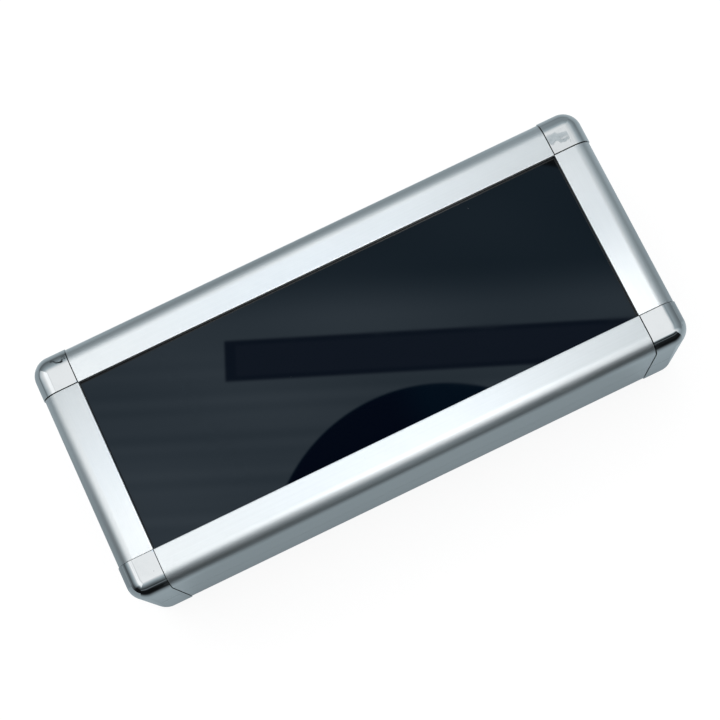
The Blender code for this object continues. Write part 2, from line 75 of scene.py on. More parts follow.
# Loose contents and hinges
PANEL_CORNER_RADIUS = 0.0015
PANEL_EDGE = 0.0002
TILE_CORNER_RADIUS = 0.0050
TILE_EDGE = 0.0004
SPACER_CORNER_RADIUS = 0.0012
SPACER_EDGE = 0.0008
WELL_CORNER_RADIUS = 0.0055
FINGER_RADIUS = 0.0110
FINGER_STEP = 0.0020
FINGER_BEND = 0.0098
FINGER_LEAD = 0.0012
FOAM_EDGE = 0.0007
DISC_RADIUS = 0.0040
DISC_DEPTH = 0.0020
DISC_EDGE = 0.0004
KNUCKLE_RADIUS = 0.0022
KNUCKLE_COUNT = 3
LEAF_THICKNESS = 0.0008
LEAF_HEIGHT = 0.0100
LEAF_CORNER = 0.0016
LEAF_EDGE = 0.0025
LEAF_BREAK = 0.0002
BORE_RADIUS = 0.0011
PIN_RADIUS = 0.0008
PIN_HEAD_RADIUS = 0.0014
PIN_HEAD_LENGTH = 0.0008
RIVET_RADIUS = 0.0010
RIVET_HEAD_RADIUS = 0.0018
RIVET_HEAD_HEIGHT = 0.0006
RIVET_TAIL_RADIUS = 0.0016

TILE_COUNT = 5
TILE_PLAY = 0.0010
LINER_PLAY = 0.0012
LINER_CEILING = 0.0030
STRIP_INSET = 0.00002
ROLLED_DEGREES = 300
OVERLAP_DEGREES = 30
PIN_DOME_SHARE = 0.80
RIVET_DOME_SHARE = 0.85
RIM_SHARE = 0.10

# Guide lines on the tiles, and how far their pattern is moved so that it is counted from above zero
GUIDE_STEP = 0.0055
GUIDE_WIDTH = 0.0006
GUIDE_HALF_LENGTH = 0.0860
GUIDE_OFFSET = 40 * GUIDE_STEP

# How finely arcs, flats and straights are drawn
ARC_STEP = 0.00030
FEWEST_STEPS = 3
MOST_STEPS = 40
SUPPORT = 0.0004
SMALL_RADIUS = 0.0010
ROUND_SIDES = 64
STRAIGHT_STEPS = 3
FLAT_STATIONS = (0, 0.35, 0.7, 0.93, 0.985)
CREASE = math.radians(32)
MERGE_DISTANCE = 1e-7

# Sizes read from the frame
rail_low, rail_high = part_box("lid_rail_front")
back_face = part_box("lid_rail_back")[1].y
HALF_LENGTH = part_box("lid_rail_right")[1].x
HALF_WIDTH = (back_face - rail_low.y) / 2
CASE_Y = (back_face + rail_low.y) / 2
FLANGE_WIDTH = rail_high.y - rail_low.y
RAIL_REACH_X = rail_high.x
RAIL_REACH_Y = HALF_WIDTH - FLANGE_WIDTH
LID_PLANE = rail_high.z
BASE_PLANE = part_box("base_rail_front")[0].z
PARTING_PLANE = rail_low.z - PARTING_GAP / 2
HALVES = {
    "base": {"plane": BASE_PLANE, "inward": 1, "height": PARTING_PLANE - BASE_PLANE, "has_lip": True},
    "lid": {"plane": LID_PLANE, "inward": -1, "height": LID_PLANE - PARTING_PLANE, "has_lip": False},
}
SIDES = {"left": -1, "right": 1}
ENDS = {"front": -1, "back": 1}


# Shapes as whole arrays

def level(half, depth):
    """Height of a depth in one half: its flange's plane, plus the depth towards the parting plane."""
    return half["plane"] + half["inward"] * depth


def rounded_outline(corners, radii):
    """Closed outline with an arc in each corner, and a value that is 1 on the small arcs.
    A point of an arc is its centre plus the two end spokes, weighted as a turn from one to the other."""
    corners = np.array(corners, float)
    before = np.roll(corners, 1, axis=0) - corners
    after = np.roll(corners, -1, axis=0) - corners
    before /= np.linalg.norm(before, axis=1)[:, None]
    after /= np.linalg.norm(after, axis=1)[:, None]
    arcs, edges = [], []
    for corner, toward, away, radius in zip(corners, before, after, radii):
        opening = math.acos(np.clip(toward @ away, -1, 1))
        bisector = (toward + away) / np.linalg.norm(toward + away)
        centre = corner + bisector * radius / math.sin(opening / 2)
        run = radius / math.tan(opening / 2)
        first, last = corner + toward * run - centre, corner + away * run - centre
        turn = math.pi - opening
        steps = int(np.clip(math.ceil(radius * turn / ARC_STEP), FEWEST_STEPS, MOST_STEPS))
        share = np.linspace(0, 1, steps + 1)[:, None]
        arc = centre + (np.sin((1 - share) * turn) * first + np.sin(share * turn) * last) / math.sin(turn)
        arcs.append(arc)
        edges.append(np.full(len(arc), float(radius < SMALL_RADIUS)))
    points, values = [], []
    for place, arc in enumerate(arcs):
        following = arcs[(place + 1) % len(arcs)][0]
        points.append(arc)
        values.append(edges[place])
        gap = following - arc[-1]
        length = np.linalg.norm(gap)
        if length > 3 * SUPPORT:
            step = gap / length * SUPPORT
            points.append(np.array([arc[-1] + step, following - step]))
            values.append(np.zeros(2))
    return np.concatenate(points), np.concatenate(values)


def rectangle(half_x, half_y, radius):
    """Rounded rectangle about the origin."""
    corners = [(half_x, -half_y), (half_x, half_y), (-half_x, half_y), (-half_x, -half_y)]
    return rounded_outline(corners, [radius] * len(corners))


def outward(outline):
    """Unit normals of a closed outline, square to the chord between a point's neighbours."""
    chord = np.roll(outline, -1, axis=0) - np.roll(outline, 1, axis=0)
    normal = np.stack([chord[:, 1], -chord[:, 0]], axis=1)
    normal /= np.linalg.norm(normal, axis=1)[:, None]
    x, y = outline.T
    area = np.sum(x * np.roll(y, -1) - np.roll(x, -1) * y)
    return normal * math.copysign(1, area)


def lofted(rings):
    """Mesh of equal rings, each joined to the next by a band of quads, and closed by a face at both ends."""
    count, size = rings.shape[:2]
    ring, place = np.meshgrid(np.arange(count - 1), np.arange(size), indexing="ij")
    following = (place + 1) % size
    quads = np.stack([ring * size + place, ring * size + following,
                      (ring + 1) * size + following, (ring + 1) * size + place], axis=-1)
    faces = quads.reshape(-1, 4).tolist()
    faces.append(list(range(size))[::-1])
    faces.append(list(range((count - 1) * size, count * size)))
    return rings.reshape(-1, 3), faces


def prism(outline, edges, low, high, radius, axes):
    """Outline carried from low to high, drawn in at both ends by a quarter circle of the given radius.
    Axes says which of x, y and z the outline's first and second sizes and the path become."""
    turn = np.linspace(0, math.pi / 2, FEWEST_STEPS + 1)
    drawn = radius - radius * np.sin(turn)
    run = radius - radius * np.cos(turn)
    paths = np.concatenate([low + run, high - run[::-1]])
    insets = np.concatenate([drawn, drawn[::-1]])
    lines = np.concatenate([1 - turn / turn[-1], (1 - turn / turn[-1])[::-1]])
    flat = outline[None] - outward(outline)[None] * insets[:, None, None]
    rings = np.zeros((len(paths), len(outline), 3))
    rings[..., axes[0]] = flat[..., 0]
    rings[..., axes[1]] = flat[..., 1]
    rings[..., axes[2]] = paths[:, None]
    points, faces = lofted(rings)
    wear = np.maximum(edges[None], lines[:, None]).reshape(-1)
    return points, faces, wear


def turned(profile, centre, axis, edges=None):
    """Profile of (place along the axis, radius) points carried once round the axis."""
    profile = np.array(profile, float)
    angle = np.linspace(0, 2 * math.pi, ROUND_SIDES, endpoint=False)
    rings = np.zeros((len(profile), ROUND_SIDES, 3))
    across = [place for place in range(3) if place != axis]
    rings[..., axis] = profile[:, None, 0]
    rings[..., across[0]] = profile[:, None, 1] * np.cos(angle)[None]
    rings[..., across[1]] = profile[:, None, 1] * np.sin(angle)[None]
    points, faces = lofted(rings + np.array(centre, float))
    wear = np.zeros(len(profile)) if edges is None else edges
    return points, faces, np.repeat(wear, ROUND_SIDES)


def turned_outline(corners, radii):
    """Rounded half profile of a turned piece: corners from axis to axis, mirrored to round them."""
    corners = np.array(corners, float)
    mirrored = corners[::-1] * np.array([1, -1])
    points, edges = rounded_outline(np.concatenate([corners, mirrored]), list(radii) + list(radii)[::-1])
    keep = points[:, 1] > 0
    start = int(np.argmax(keep & ~np.roll(keep, 1)))
    points, edges, keep = (np.roll(values, -start, axis=0) for values in (points, edges, keep))
    points, edges = points[keep], edges[keep]
    points = np.concatenate([[[points[0, 0], 0]], points, [[points[-1, 0], 0]]])
    return points, np.concatenate([[0], edges, [0]])


def smooth(mesh):
    """Smooth sides with sharp creases, and flat ends: faces of more than four corners."""
    mesh.set_sharp_from_angle(angle=CREASE)
    mesh.polygons.foreach_set("use_smooth", [polygon.loop_total <= 4 for polygon in mesh.polygons])


def joined(name, parts):
    """Mesh of one or more closed shells."""
    points, faces = [], []
    for part_points, part_faces, _ in parts:
        start = sum(len(group) for group in points)
        points.append(part_points)
        faces += [[start + corner for corner in face] for face in part_faces]
    mesh = bpy.data.meshes.new(name)
    mesh.from_pydata(np.concatenate(points), [], faces)
    return mesh


def piece(name, parts, surface, body):
    """One object of one or more closed shells, placed in its mesh, that stands for its solid in the frame."""
    mesh = joined(name + "_finish", parts)
    wear = np.concatenate([part_wear for *_, part_wear in parts])
    mesh.attributes.new("edge", "FLOAT", "POINT").data.foreach_set("value", wear)
    shape = bmesh.new()
    shape.from_mesh(mesh)
    bmesh.ops.remove_doubles(shape, verts=shape.verts, dist=MERGE_DISTANCE)
    bmesh.ops.dissolve_degenerate(shape, edges=shape.edges, dist=MERGE_DISTANCE)
    bmesh.ops.recalc_face_normals(shape, faces=shape.faces)
    shape.to_mesh(mesh)
    shape.free()
    mesh.materials.append(surface)
    smooth(mesh)
    made = bpy.data.objects.new(name + "_finish", mesh)
    bpy.context.scene.collection.objects.link(made)
    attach(made, body)
    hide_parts(name)
    return made


# Surfaces

def add(tree, kind, values=None, **settings):
    """Node with its settings, and with each named input linked to a socket or set to a value."""
    made = tree.nodes.new(kind)
    for key, value in settings.items():
        setattr(made, key, value)
    for key, value in (values or {}).items():
        if isinstance(value, bpy.types.NodeSocket):
            tree.links.new(value, made.inputs[key])
        else:
            made.inputs[key].default_value = value
    return made


def new_group(name, inputs, outputs):
    """Empty shader group: inputs as {name: (kind, default)}, outputs as {name: kind}."""
    tree = bpy.data.node_groups.new(name, "ShaderNodeTree")
    for key, (kind, default) in inputs.items():
        socket = tree.interface.new_socket(name=key, in_out="INPUT", socket_type="NodeSocket" + kind)
        if default is not None:
            socket.default_value = default
    for key, kind in outputs.items():
        tree.interface.new_socket(name=key, in_out="OUTPUT", socket_type="NodeSocket" + kind)
    return tree, tree.nodes.new("NodeGroupInput").outputs, tree.nodes.new("NodeGroupOutput")


def span(tree, value, low, high, to_low=0.0, to_high=1.0, eased=True):
    """Value from low to high, mapped to another span."""
    return add(tree, "ShaderNodeMapRange", {"Value": value, "From Min": low, "From Max": high,
                                            "To Min": to_low, "To Max": to_high},
               interpolation_type="SMOOTHSTEP" if eased else "LINEAR").outputs["Result"]


def combined(tree, first, second, operation="ADD"):
    """Two values added, or put together by another operation."""
    return add(tree, "ShaderNodeMath", {0: first, 1: second}, operation=operation).outputs[0]


def tint(tree, share, first, second):
    """Colour between two, by a share."""
    made = add(tree, "ShaderNodeMix", {"Factor": share}, data_type="RGBA")
    colour_inputs = [socket for socket in made.inputs if socket.type == "RGBA"]
    for socket, value in zip(colour_inputs, (first, second)):
        if isinstance(value, bpy.types.NodeSocket):
            tree.links.new(value, socket)
        else:
            socket.default_value = (*value, 1)
    return next(socket for socket in made.outputs if socket.type == "RGBA")


def brushed_grain():
    """Long fine streaks: noise that changes slowly along X and fast across it."""
    tree, given, result = new_group("brushed_grain", {
        "Vector": ("Vector", None), "Along": ("Float", 6.0), "Across": ("Float", 2600.0)},
        {"Streak": "Float"})
    stretch = add(tree, "ShaderNodeCombineXYZ",
                  {"X": given["Along"], "Y": given["Across"], "Z": given["Across"]})
    fine = add(tree, "ShaderNodeVectorMath", {0: given["Vector"], 1: stretch.outputs[0]},
               operation="MULTIPLY")
    fine_noise = add(tree, "ShaderNodeTexNoise", {"Vector": fine.outputs[0], "Scale": 1.0, "Detail": 3.0})
    coarse_noise = add(tree, "ShaderNodeTexNoise", {"Vector": fine.outputs[0], "Scale": 0.17, "Detail": 2.0})
    fine_share = combined(tree, fine_noise.outputs["Fac"], 0.65, "MULTIPLY")
    coarse_share = combined(tree, coarse_noise.outputs["Fac"], 0.35, "MULTIPLY")
    tree.links.new(combined(tree, fine_share, coarse_share), result.inputs["Streak"])
    return tree


def fine_specks():
    """Sparse small round specks: cells whose random value is under Share, within Size of their point."""
    tree, given, result = new_group("fine_specks", {
        "Vector": ("Vector", None), "Scale": ("Float", 150.0), "Size": ("Float", 0.05),
        "Share": ("Float", 0.2)}, {"Mask": "Float"})
    cells = add(tree, "ShaderNodeTexVoronoi", {"Vector": given["Vector"], "Scale": given["Scale"]})
    inside = combined(tree, cells.outputs["Distance"], given["Size"], "LESS_THAN")
    random = add(tree, "ShaderNodeSeparateColor", {"Color": cells.outputs["Color"]})
    chosen = combined(tree, random.outputs[0], given["Share"], "LESS_THAN")
    tree.links.new(combined(tree, inside, chosen, "MULTIPLY"), result.inputs["Mask"])
    return tree


def soft_smudges():
    """Cloudy marks of handling: broad noise, kept where it is strong."""
    tree, given, result = new_group("soft_smudges", {
        "Vector": ("Vector", None), "Scale": ("Float", 40.0), "Threshold": ("Float", 0.5)}, {"Mask": "Float"})
    noise = add(tree, "ShaderNodeTexNoise", {"Vector": given["Vector"], "Scale": given["Scale"],
                                             "Detail": 4.0, "Roughness": 0.6, "Distortion": 0.4})
    over = combined(tree, noise.outputs["Fac"], given["Threshold"], "SUBTRACT")
    tree.links.new(span(tree, over, 0.0, 0.2), result.inputs["Mask"])
    return tree


def edge_wear():
    """Rubbed edges: the piece's edge value, broken up by noise."""
    tree, given, result = new_group("edge_wear", {
        "Vector": ("Vector", None), "Scale": ("Float", 900.0), "Amount": ("Float", 0.5)}, {"Mask": "Float"})
    edge = add(tree, "ShaderNodeAttribute", attribute_name="edge")
    noise = add(tree, "ShaderNodeTexNoise",
                {"Vector": given["Vector"], "Scale": given["Scale"], "Detail": 3.0})
    broken = combined(tree, edge.outputs["Fac"], noise.outputs["Fac"], "MULTIPLY")
    worn = span(tree, broken, 0.25, 0.7)
    tree.links.new(combined(tree, worn, given["Amount"], "MULTIPLY"), result.inputs["Mask"])
    return tree


EFFECTS = {made.name: made for made in (brushed_grain(), fine_specks(), soft_smudges(), edge_wear())}


def effect(tree, name, values):
    """One of the shared effects, with a material's own values."""
    return add(tree, "ShaderNodeGroup", values, node_tree=EFFECTS[name]).outputs[0]


def new_material(name, colour, **values):
    """Material with a Principled shader, and the piece's own coordinates for its patterns."""
    made = bpy.data.materials.new(name)
    made.use_nodes = True
    made.diffuse_color = (*colour, 1)
    tree = made.node_tree
    shader = tree.nodes["Principled BSDF"]
    for key, value in values.items():
        shader.inputs[key.replace("_", " ")].default_value = value
    shader.inputs["Base Color"].default_value = (*colour, 1)
    return made, tree, shader, add(tree, "ShaderNodeTexCoord").outputs["Object"]


def relief(tree, shader, height, distance):
    """Fine relief, distance metres deep where the height is 1."""
    bump = add(tree, "ShaderNodeBump", {"Height": height, "Distance": distance, "Strength": 1.0})
    tree.links.new(bump.outputs["Normal"], shader.inputs["Normal"])


def satin_aluminium(name, turn, painted_shade):
    """Anodised aluminium, finely brushed along the rail: streaks in colour, gloss and relief, a few pits. All
    its colour is scaled down by a painted shade factor, for a copy that stands in for dimmer light on those
    rails.
    """
    made, tree, shader, place = new_material(name, (0.90 * painted_shade, 0.91 * painted_shade, 0.92 * painted_shade), Metallic=1.0)
    run = add(tree, "ShaderNodeMapping", {"Vector": place, "Rotation": (0, 0, turn)}).outputs[0]
    streak = effect(tree, "brushed_grain", {"Vector": run, "Along": 7.0, "Across": 2600.0})
    pits = effect(tree, "fine_specks", {"Vector": place, "Scale": 130.0, "Size": 0.022, "Share": 0.20})
    cloud = effect(tree, "soft_smudges", {"Vector": place, "Scale": 26.0, "Threshold": 0.5})
    worn = effect(tree, "edge_wear", {"Vector": place, "Scale": 1400.0, "Amount": 0.6})
    dull, bright = np.array([(0.872, 0.88, 0.882), (0.912, 0.92, 0.922)]) * painted_shade
    grain = tint(tree, span(tree, streak, 0.3, 0.7), dull, bright)
    rubbed = tint(tree, worn, grain, (0.97, 0.97, 0.97))
    tree.links.new(tint(tree, pits, rubbed, (0.60, 0.62, 0.63)), shader.inputs["Base Color"])
    gloss = combined(tree, span(tree, streak, 0.25, 0.75, 0.31, 0.41), span(tree, cloud, 0, 1, 0.0, 0.03))
    tree.links.new(gloss, shader.inputs["Roughness"])
    relief(tree, shader, combined(tree, streak, pits, "SUBTRACT"), 0.000006)
    return made


def plated_chrome():
    """Bright chrome over a die casting: slow waves in the casting, handling haze, tiny pits."""
    made, tree, shader, place = new_material("plated_chrome", (0.78, 0.785, 0.79), Metallic=1.0)
    haze = effect(tree, "soft_smudges", {"Vector": place, "Scale": 120.0, "Threshold": 0.48})
    pits = effect(tree, "fine_specks", {"Vector": place, "Scale": 700.0, "Size": 0.12, "Share": 0.05})
    worn = effect(tree, "edge_wear", {"Vector": place, "Scale": 1600.0, "Amount": 0.5})
    waves = add(tree, "ShaderNodeTexNoise", {"Vector": place, "Scale": 170.0, "Detail": 1.5})
    hazy = tint(tree, haze, (0.79, 0.795, 0.80), (0.765, 0.77, 0.775))
    rubbed = tint(tree, worn, hazy, (0.84, 0.845, 0.85))
    tree.links.new(tint(tree, pits, rubbed, (0.45, 0.46, 0.47)), shader.inputs["Base Color"])
    gloss = combined(tree, span(tree, haze, 0, 1, 0.022, 0.055), span(tree, pits, 0, 1, 0.0, 0.2))
    tree.links.new(gloss, shader.inputs["Roughness"])
    relief(tree, shader, waves.outputs["Fac"], 0.000014)
    return made


def black_acrylic():
    """Glossy black sheet with dust and faint wiping marks."""
    black = (0.0012, 0.0022, 0.0034)
    made, tree, shader, place = new_material("black_acrylic", black, IOR=1.45)
    dust = effect(tree, "fine_specks", {"Vector": place, "Scale": 260.0, "Size": 0.045, "Share": 0.07})
    wiped = effect(tree, "soft_smudges", {"Vector": place, "Scale": 18.0, "Threshold": 0.45})
    tree.links.new(tint(tree, dust, black, (0.10, 0.11, 0.12)), shader.inputs["Base Color"])
    gloss = combined(tree, span(tree, wiped, 0, 1, 0.012, 0.028), span(tree, dust, 0, 1, 0.0, 0.5))
    tree.links.new(gloss, shader.inputs["Roughness"])
    return made


def black_foam():
    """Closed-cell foam: small cells in relief and in tone."""
    made, tree, shader, place = new_material("black_foam", (0.016, 0.016, 0.017), Roughness=0.92)
    cells = add(tree, "ShaderNodeTexVoronoi", {"Vector": place, "Scale": 2600.0})
    cell_depth = span(tree, cells.outputs["Distance"], 0.0, 0.6)
    broad = add(tree, "ShaderNodeTexNoise", {"Vector": place, "Scale": 240.0, "Detail": 5.0})
    worn = effect(tree, "edge_wear", {"Vector": place, "Scale": 700.0, "Amount": 0.7})
    lint = effect(tree, "fine_specks", {"Vector": place, "Scale": 320.0, "Size": 0.06, "Share": 0.10})
    tone = tint(tree, combined(tree, cell_depth, broad.outputs["Fac"], "MULTIPLY"),
                (0.008, 0.008, 0.009), (0.040, 0.040, 0.042))
    rubbed = tint(tree, worn, tone, (0.060, 0.060, 0.062))
    tree.links.new(tint(tree, lint, rubbed, (0.20, 0.20, 0.20)), shader.inputs["Base Color"])
    relief(tree, shader, combined(tree, cell_depth, broad.outputs["Fac"]), 0.00012)
    return made


def guide_lines(tree, place):
    """Thin plain lines along X at even steps across, kept clear of the plate's ends."""
    sizes = add(tree, "ShaderNodeSeparateXYZ", {"Vector": place})
    across = combined(tree, combined(tree, sizes.outputs["Y"], GUIDE_OFFSET), GUIDE_STEP, "PINGPONG")
    on_line = combined(tree, across, GUIDE_WIDTH / 2, "LESS_THAN")
    along = combined(tree, sizes.outputs["X"], 0.0, "ABSOLUTE")
    return combined(tree, on_line, combined(tree, along, GUIDE_HALF_LENGTH, "LESS_THAN"), "MULTIPLY")


def milky_acrylic():
    """Frosted white sheet: fine frost in relief, slight clouding, plain guide lines along its length."""
    made, tree, shader, place = new_material("milky_acrylic", (0.84, 0.85, 0.84), IOR=1.49)
    cloud = effect(tree, "soft_smudges", {"Vector": place, "Scale": 60.0, "Threshold": 0.5})
    frost = add(tree, "ShaderNodeTexNoise", {"Vector": place, "Scale": 5200.0, "Detail": 2.0})
    worn = effect(tree, "edge_wear", {"Vector": place, "Scale": 900.0, "Amount": 0.5})
    clouded = tint(tree, cloud, (0.78, 0.79, 0.79), (0.81, 0.82, 0.81))
    lined = tint(tree, guide_lines(tree, place), clouded, (0.42, 0.43, 0.44))
    tree.links.new(tint(tree, worn, lined, (0.90, 0.91, 0.91)), shader.inputs["Base Color"])
    tree.links.new(span(tree, cloud, 0, 1, 0.26, 0.34), shader.inputs["Roughness"])
    relief(tree, shader, frost.outputs["Fac"], 0.00001)
    return made


def soft_rubber():
    """Matt black rubber with a powdery bloom."""
    made, tree, shader, place = new_material("soft_rubber", (0.020, 0.020, 0.021))
    bloom = effect(tree, "soft_smudges", {"Vector": place, "Scale": 220.0, "Threshold": 0.45})
    grit = add(tree, "ShaderNodeTexNoise", {"Vector": place, "Scale": 3800.0, "Detail": 3.0})
    bloomed = tint(tree, bloom, (0.016, 0.016, 0.017), (0.045, 0.045, 0.045))
    tree.links.new(bloomed, shader.inputs["Base Color"])
    tree.links.new(span(tree, bloom, 0, 1, 0.6, 0.8), shader.inputs["Roughness"])
    relief(tree, shader, grit.outputs["Fac"], 0.00003)
    return made


def plated_steel():
    """Nickel on steel: soft gloss, rubbed edges, small scratches from use."""
    made, tree, shader, place = new_material("plated_steel", (0.66, 0.64, 0.61), Metallic=1.0)
    haze = effect(tree, "soft_smudges", {"Vector": place, "Scale": 300.0, "Threshold": 0.45})
    scratch = effect(tree, "brushed_grain", {"Vector": place, "Along": 300.0, "Across": 6000.0})
    worn = effect(tree, "edge_wear", {"Vector": place, "Scale": 2000.0, "Amount": 0.8})
    nickel = tint(tree, haze, (0.67, 0.65, 0.62), (0.60, 0.58, 0.55))
    tree.links.new(tint(tree, worn, nickel, (0.76, 0.75, 0.73)), shader.inputs["Base Color"])
    tree.links.new(span(tree, scratch, 0.3, 0.7, 0.16, 0.28), shader.inputs["Roughness"])
    relief(tree, shader, scratch, 0.000003)
    return made


# The same aluminium twice: the copy for the short side rails is darkened to 0.93 as a painted shade, standing
# in for the dimmer light that they get.
ALUMINIUM = {"long": satin_aluminium("satin_aluminium_long", 0, 1.0),
             "short": satin_aluminium("satin_aluminium_short_painted_shade", math.pi / 2, 0.93)}
CHROME = plated_chrome()
ACRYLIC = black_acrylic()
FOAM = black_foam()
MILKY = milky_acrylic()
RUBBER = soft_rubber()
STEEL = plated_steel()


# Rails and corners

def rail_section(half):
    """Closed section of a rail as (inset, depth), from the parting edge round the outside and back inside."""
    foot = half["height"] - PARTING_GAP / 2
    web_inner = FLANGE_WIDTH - GROOVE_DEPTH
    web_outer = web_inner - GROOVE_WEB
    jaw_face = TURNED_EDGE_DEPTH + FIT_GAP + PANEL_THICKNESS + FIT_GAP
    turned_edge = FLANGE_WIDTH - TURNED_EDGE_THICKNESS
    jaw_under = jaw_face + JAW_THICKNESS
    small = EDGE_BREAK
    corners = [(0, foot, small), (0, 0, EDGE_RADIUS), (FLANGE_WIDTH, 0, small),
               (FLANGE_WIDTH, TURNED_EDGE_DEPTH, small), (turned_edge, TURNED_EDGE_DEPTH, small),
               (turned_edge, WALL, small),
               (web_inner, WALL, small), (web_inner, jaw_face, small),
               (web_inner + JAW_REACH, jaw_face, small), (web_inner + JAW_REACH, jaw_under, small),
               (web_outer, jaw_under, small), (web_outer, WALL, small),
               (WALL, WALL, EDGE_RADIUS - WALL)]
    if half["has_lip"]:
        outer, inner = WALL + FIT_GAP, WALL + FIT_GAP + LIP_THICKNESS
        root, top = foot - LIP_ROOT, half["height"] + LIP_HEIGHT
        corners += [(WALL, root, small), (inner, root, small), (inner, top, small), (outer, top, small),
                    (outer, foot, SAW_BREAK)]
    else:
        corners.append((WALL, foot, small))
    corners = np.array(corners)
    return rounded_outline(corners[:, :2], corners[:, 2])


def rail(half_name, place_name):
    """Section carried along the case between two corner castings."""
    half = HALVES[half_name]
    section, edges = rail_section(half)
    depth = level(half, section[:, 1])
    if place_name in ENDS:
        end = ENDS[place_name]
        outline = np.stack([CASE_Y + end * (HALF_WIDTH - section[:, 0]), depth], axis=1)
        part = prism(outline, edges, -RAIL_REACH_X, RAIL_REACH_X, SAW_BREAK, (1, 2, 0))
        surface = ALUMINIUM["long"]
    else:
        side = SIDES[place_name]
        outline = np.stack([side * (HALF_LENGTH - section[:, 0]), depth], axis=1)
        part = prism(outline, edges, CASE_Y - RAIL_REACH_Y, CASE_Y + RAIL_REACH_Y, SAW_BREAK, (0, 2, 1))
        # The side rails take the copy of the aluminium that is darkened as a painted shade.
        surface = ALUMINIUM["short"]
    return piece(f"{half_name}_rail_{place_name}", [part], surface, half_name)


def corner_plan(face, drawn_in, vertical_radius, reach):
    """Plan of a corner at one level, (inset along x, inset along y): straight, quarter turn, straight."""
    radius = vertical_radius - drawn_in
    centre = face + vertical_radius
    turn = np.linspace(0, math.pi / 2, MOST_STEPS + 1)
    arc = np.stack([centre - radius * np.sin(turn), centre - radius * np.cos(turn)], axis=1)
    run, wall = np.linspace(reach, centre, STRAIGHT_STEPS + 1)[:-1], np.full(STRAIGHT_STEPS, face + drawn_in)
    first, last = np.stack([run, wall], axis=1), np.stack([wall, run[::-1]], axis=1)
    return np.concatenate([first, arc, last])


def corner_surface(face, edge, vertical_radius, reach, top_depth, end_depth):
    """Grid over a corner, (ray, station, inset x, inset y, depth): from the inner corner of the flat out to
    the rounded edge, over it by a quarter turn, and down the wall to the end."""
    turn = np.linspace(0, math.pi / 2, MOST_STEPS + 1)
    rim = corner_plan(face, edge, vertical_radius, reach)
    inner = np.array([reach, reach])
    stations = [np.concatenate([inner + (rim - inner) * share, np.full((len(rim), 1), top_depth)], axis=1)
                for share in FLAT_STATIONS]
    for angle in turn:
        plan = corner_plan(face, edge - edge * math.sin(angle), vertical_radius, reach)
        depth = top_depth + edge - edge * math.cos(angle)
        stations.append(np.concatenate([plan, np.full((len(plan), 1), depth)], axis=1))
    wall = corner_plan(face, 0, vertical_radius, reach)
    under_edge, foot = top_depth + edge, end_depth - EDGE_BREAK
    for depth in (under_edge + SUPPORT, (under_edge + end_depth) / 2, foot - SUPPORT, foot):
        stations.append(np.concatenate([wall, np.full((len(wall), 1), depth)], axis=1))
    return np.stack(stations, axis=1)


def corner(half_name, end_name, side_name):
    """Casting over a corner: its outer and its inner surface, joined round the foot and at both seams."""
    half = HALVES[half_name]
    side, end = SIDES[side_name], ENDS[end_name]
    foot = half["height"] - PARTING_GAP / 2
    reach = FLANGE_WIDTH - (TIGHT_SEAM_GAP if (end, side) == (-1, -1) else SEAM_GAP)
    outer = corner_surface(-CORNER_PROUD, CORNER_EDGE_RADIUS, CORNER_RADIUS, reach, -CORNER_FACE_PROUD, foot)
    inner = corner_surface(WALL, EDGE_RADIUS - WALL, CORNER_RADIUS - CORNER_PROUD - WALL, reach, WALL, foot)
    turn = np.linspace(0, math.pi / 2, FEWEST_STEPS + 1)[1:, None]
    outward_wall = outer[:, -1, :2] - inner[:, -1, :2]
    outward_wall /= np.linalg.norm(outward_wall, axis=1)[:, None]
    rounds = []
    for grid, way, order in ((outer, -1, 1), (inner, 1, -1)):
        steps = []
        for angle in turn[:, 0]:
            plan = grid[:, -1, :2] + way * outward_wall * EDGE_BREAK * (1 - math.cos(angle))
            depth = grid[:, -1, 2:] + EDGE_BREAK * math.sin(angle)
            steps.append(np.concatenate([plan, depth], axis=1))
        rounds.append(np.stack(steps, axis=1)[:, ::order])
    loops = np.concatenate([outer, rounds[0], rounds[1], inner[:, ::-1]], axis=1)
    rings = np.stack([side * (HALF_LENGTH - loops[..., 0]), CASE_Y + end * (HALF_WIDTH - loops[..., 1]),
                      level(half, loops[..., 2])], axis=-1)
    points, faces = lofted(rings)
    wear = np.zeros(rings.shape[:2])
    wear[0] = wear[-1] = 1
    wear[:, outer.shape[1] - 1:outer.shape[1] + 2 * FEWEST_STEPS] = 1
    name = f"{half_name}_corner_{end_name}_{side_name}"
    return piece(name, [(points, faces, wear.reshape(-1))], CHROME, half_name)


def plate(name, radius, edge, surface, body):
    """Flat plate with rounded corners and edges, as large as its solid."""
    low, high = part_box(name)
    outline, edges = rectangle((high.x - low.x) / 2, (high.y - low.y) / 2, radius)
    outline = outline + np.array([(high.x + low.x) / 2, (high.y + low.y) / 2])
    part = prism(outline, np.zeros(len(edges)), low.z, high.z, edge, (0, 1, 2))
    return piece(name, [part], surface, body)


def shell(half_name):
    """The rails, the corner castings and the panel of one half."""
    for place_name in (*ENDS, *SIDES):
        rail(half_name, place_name)
    for end_name in ENDS:
        for side_name in SIDES:
            corner(half_name, end_name, side_name)
    plate(f"{half_name}_panel", PANEL_CORNER_RADIUS, PANEL_EDGE, ACRYLIC, half_name)


shell("base")
shell("lid")


# Foam, tiles and discs

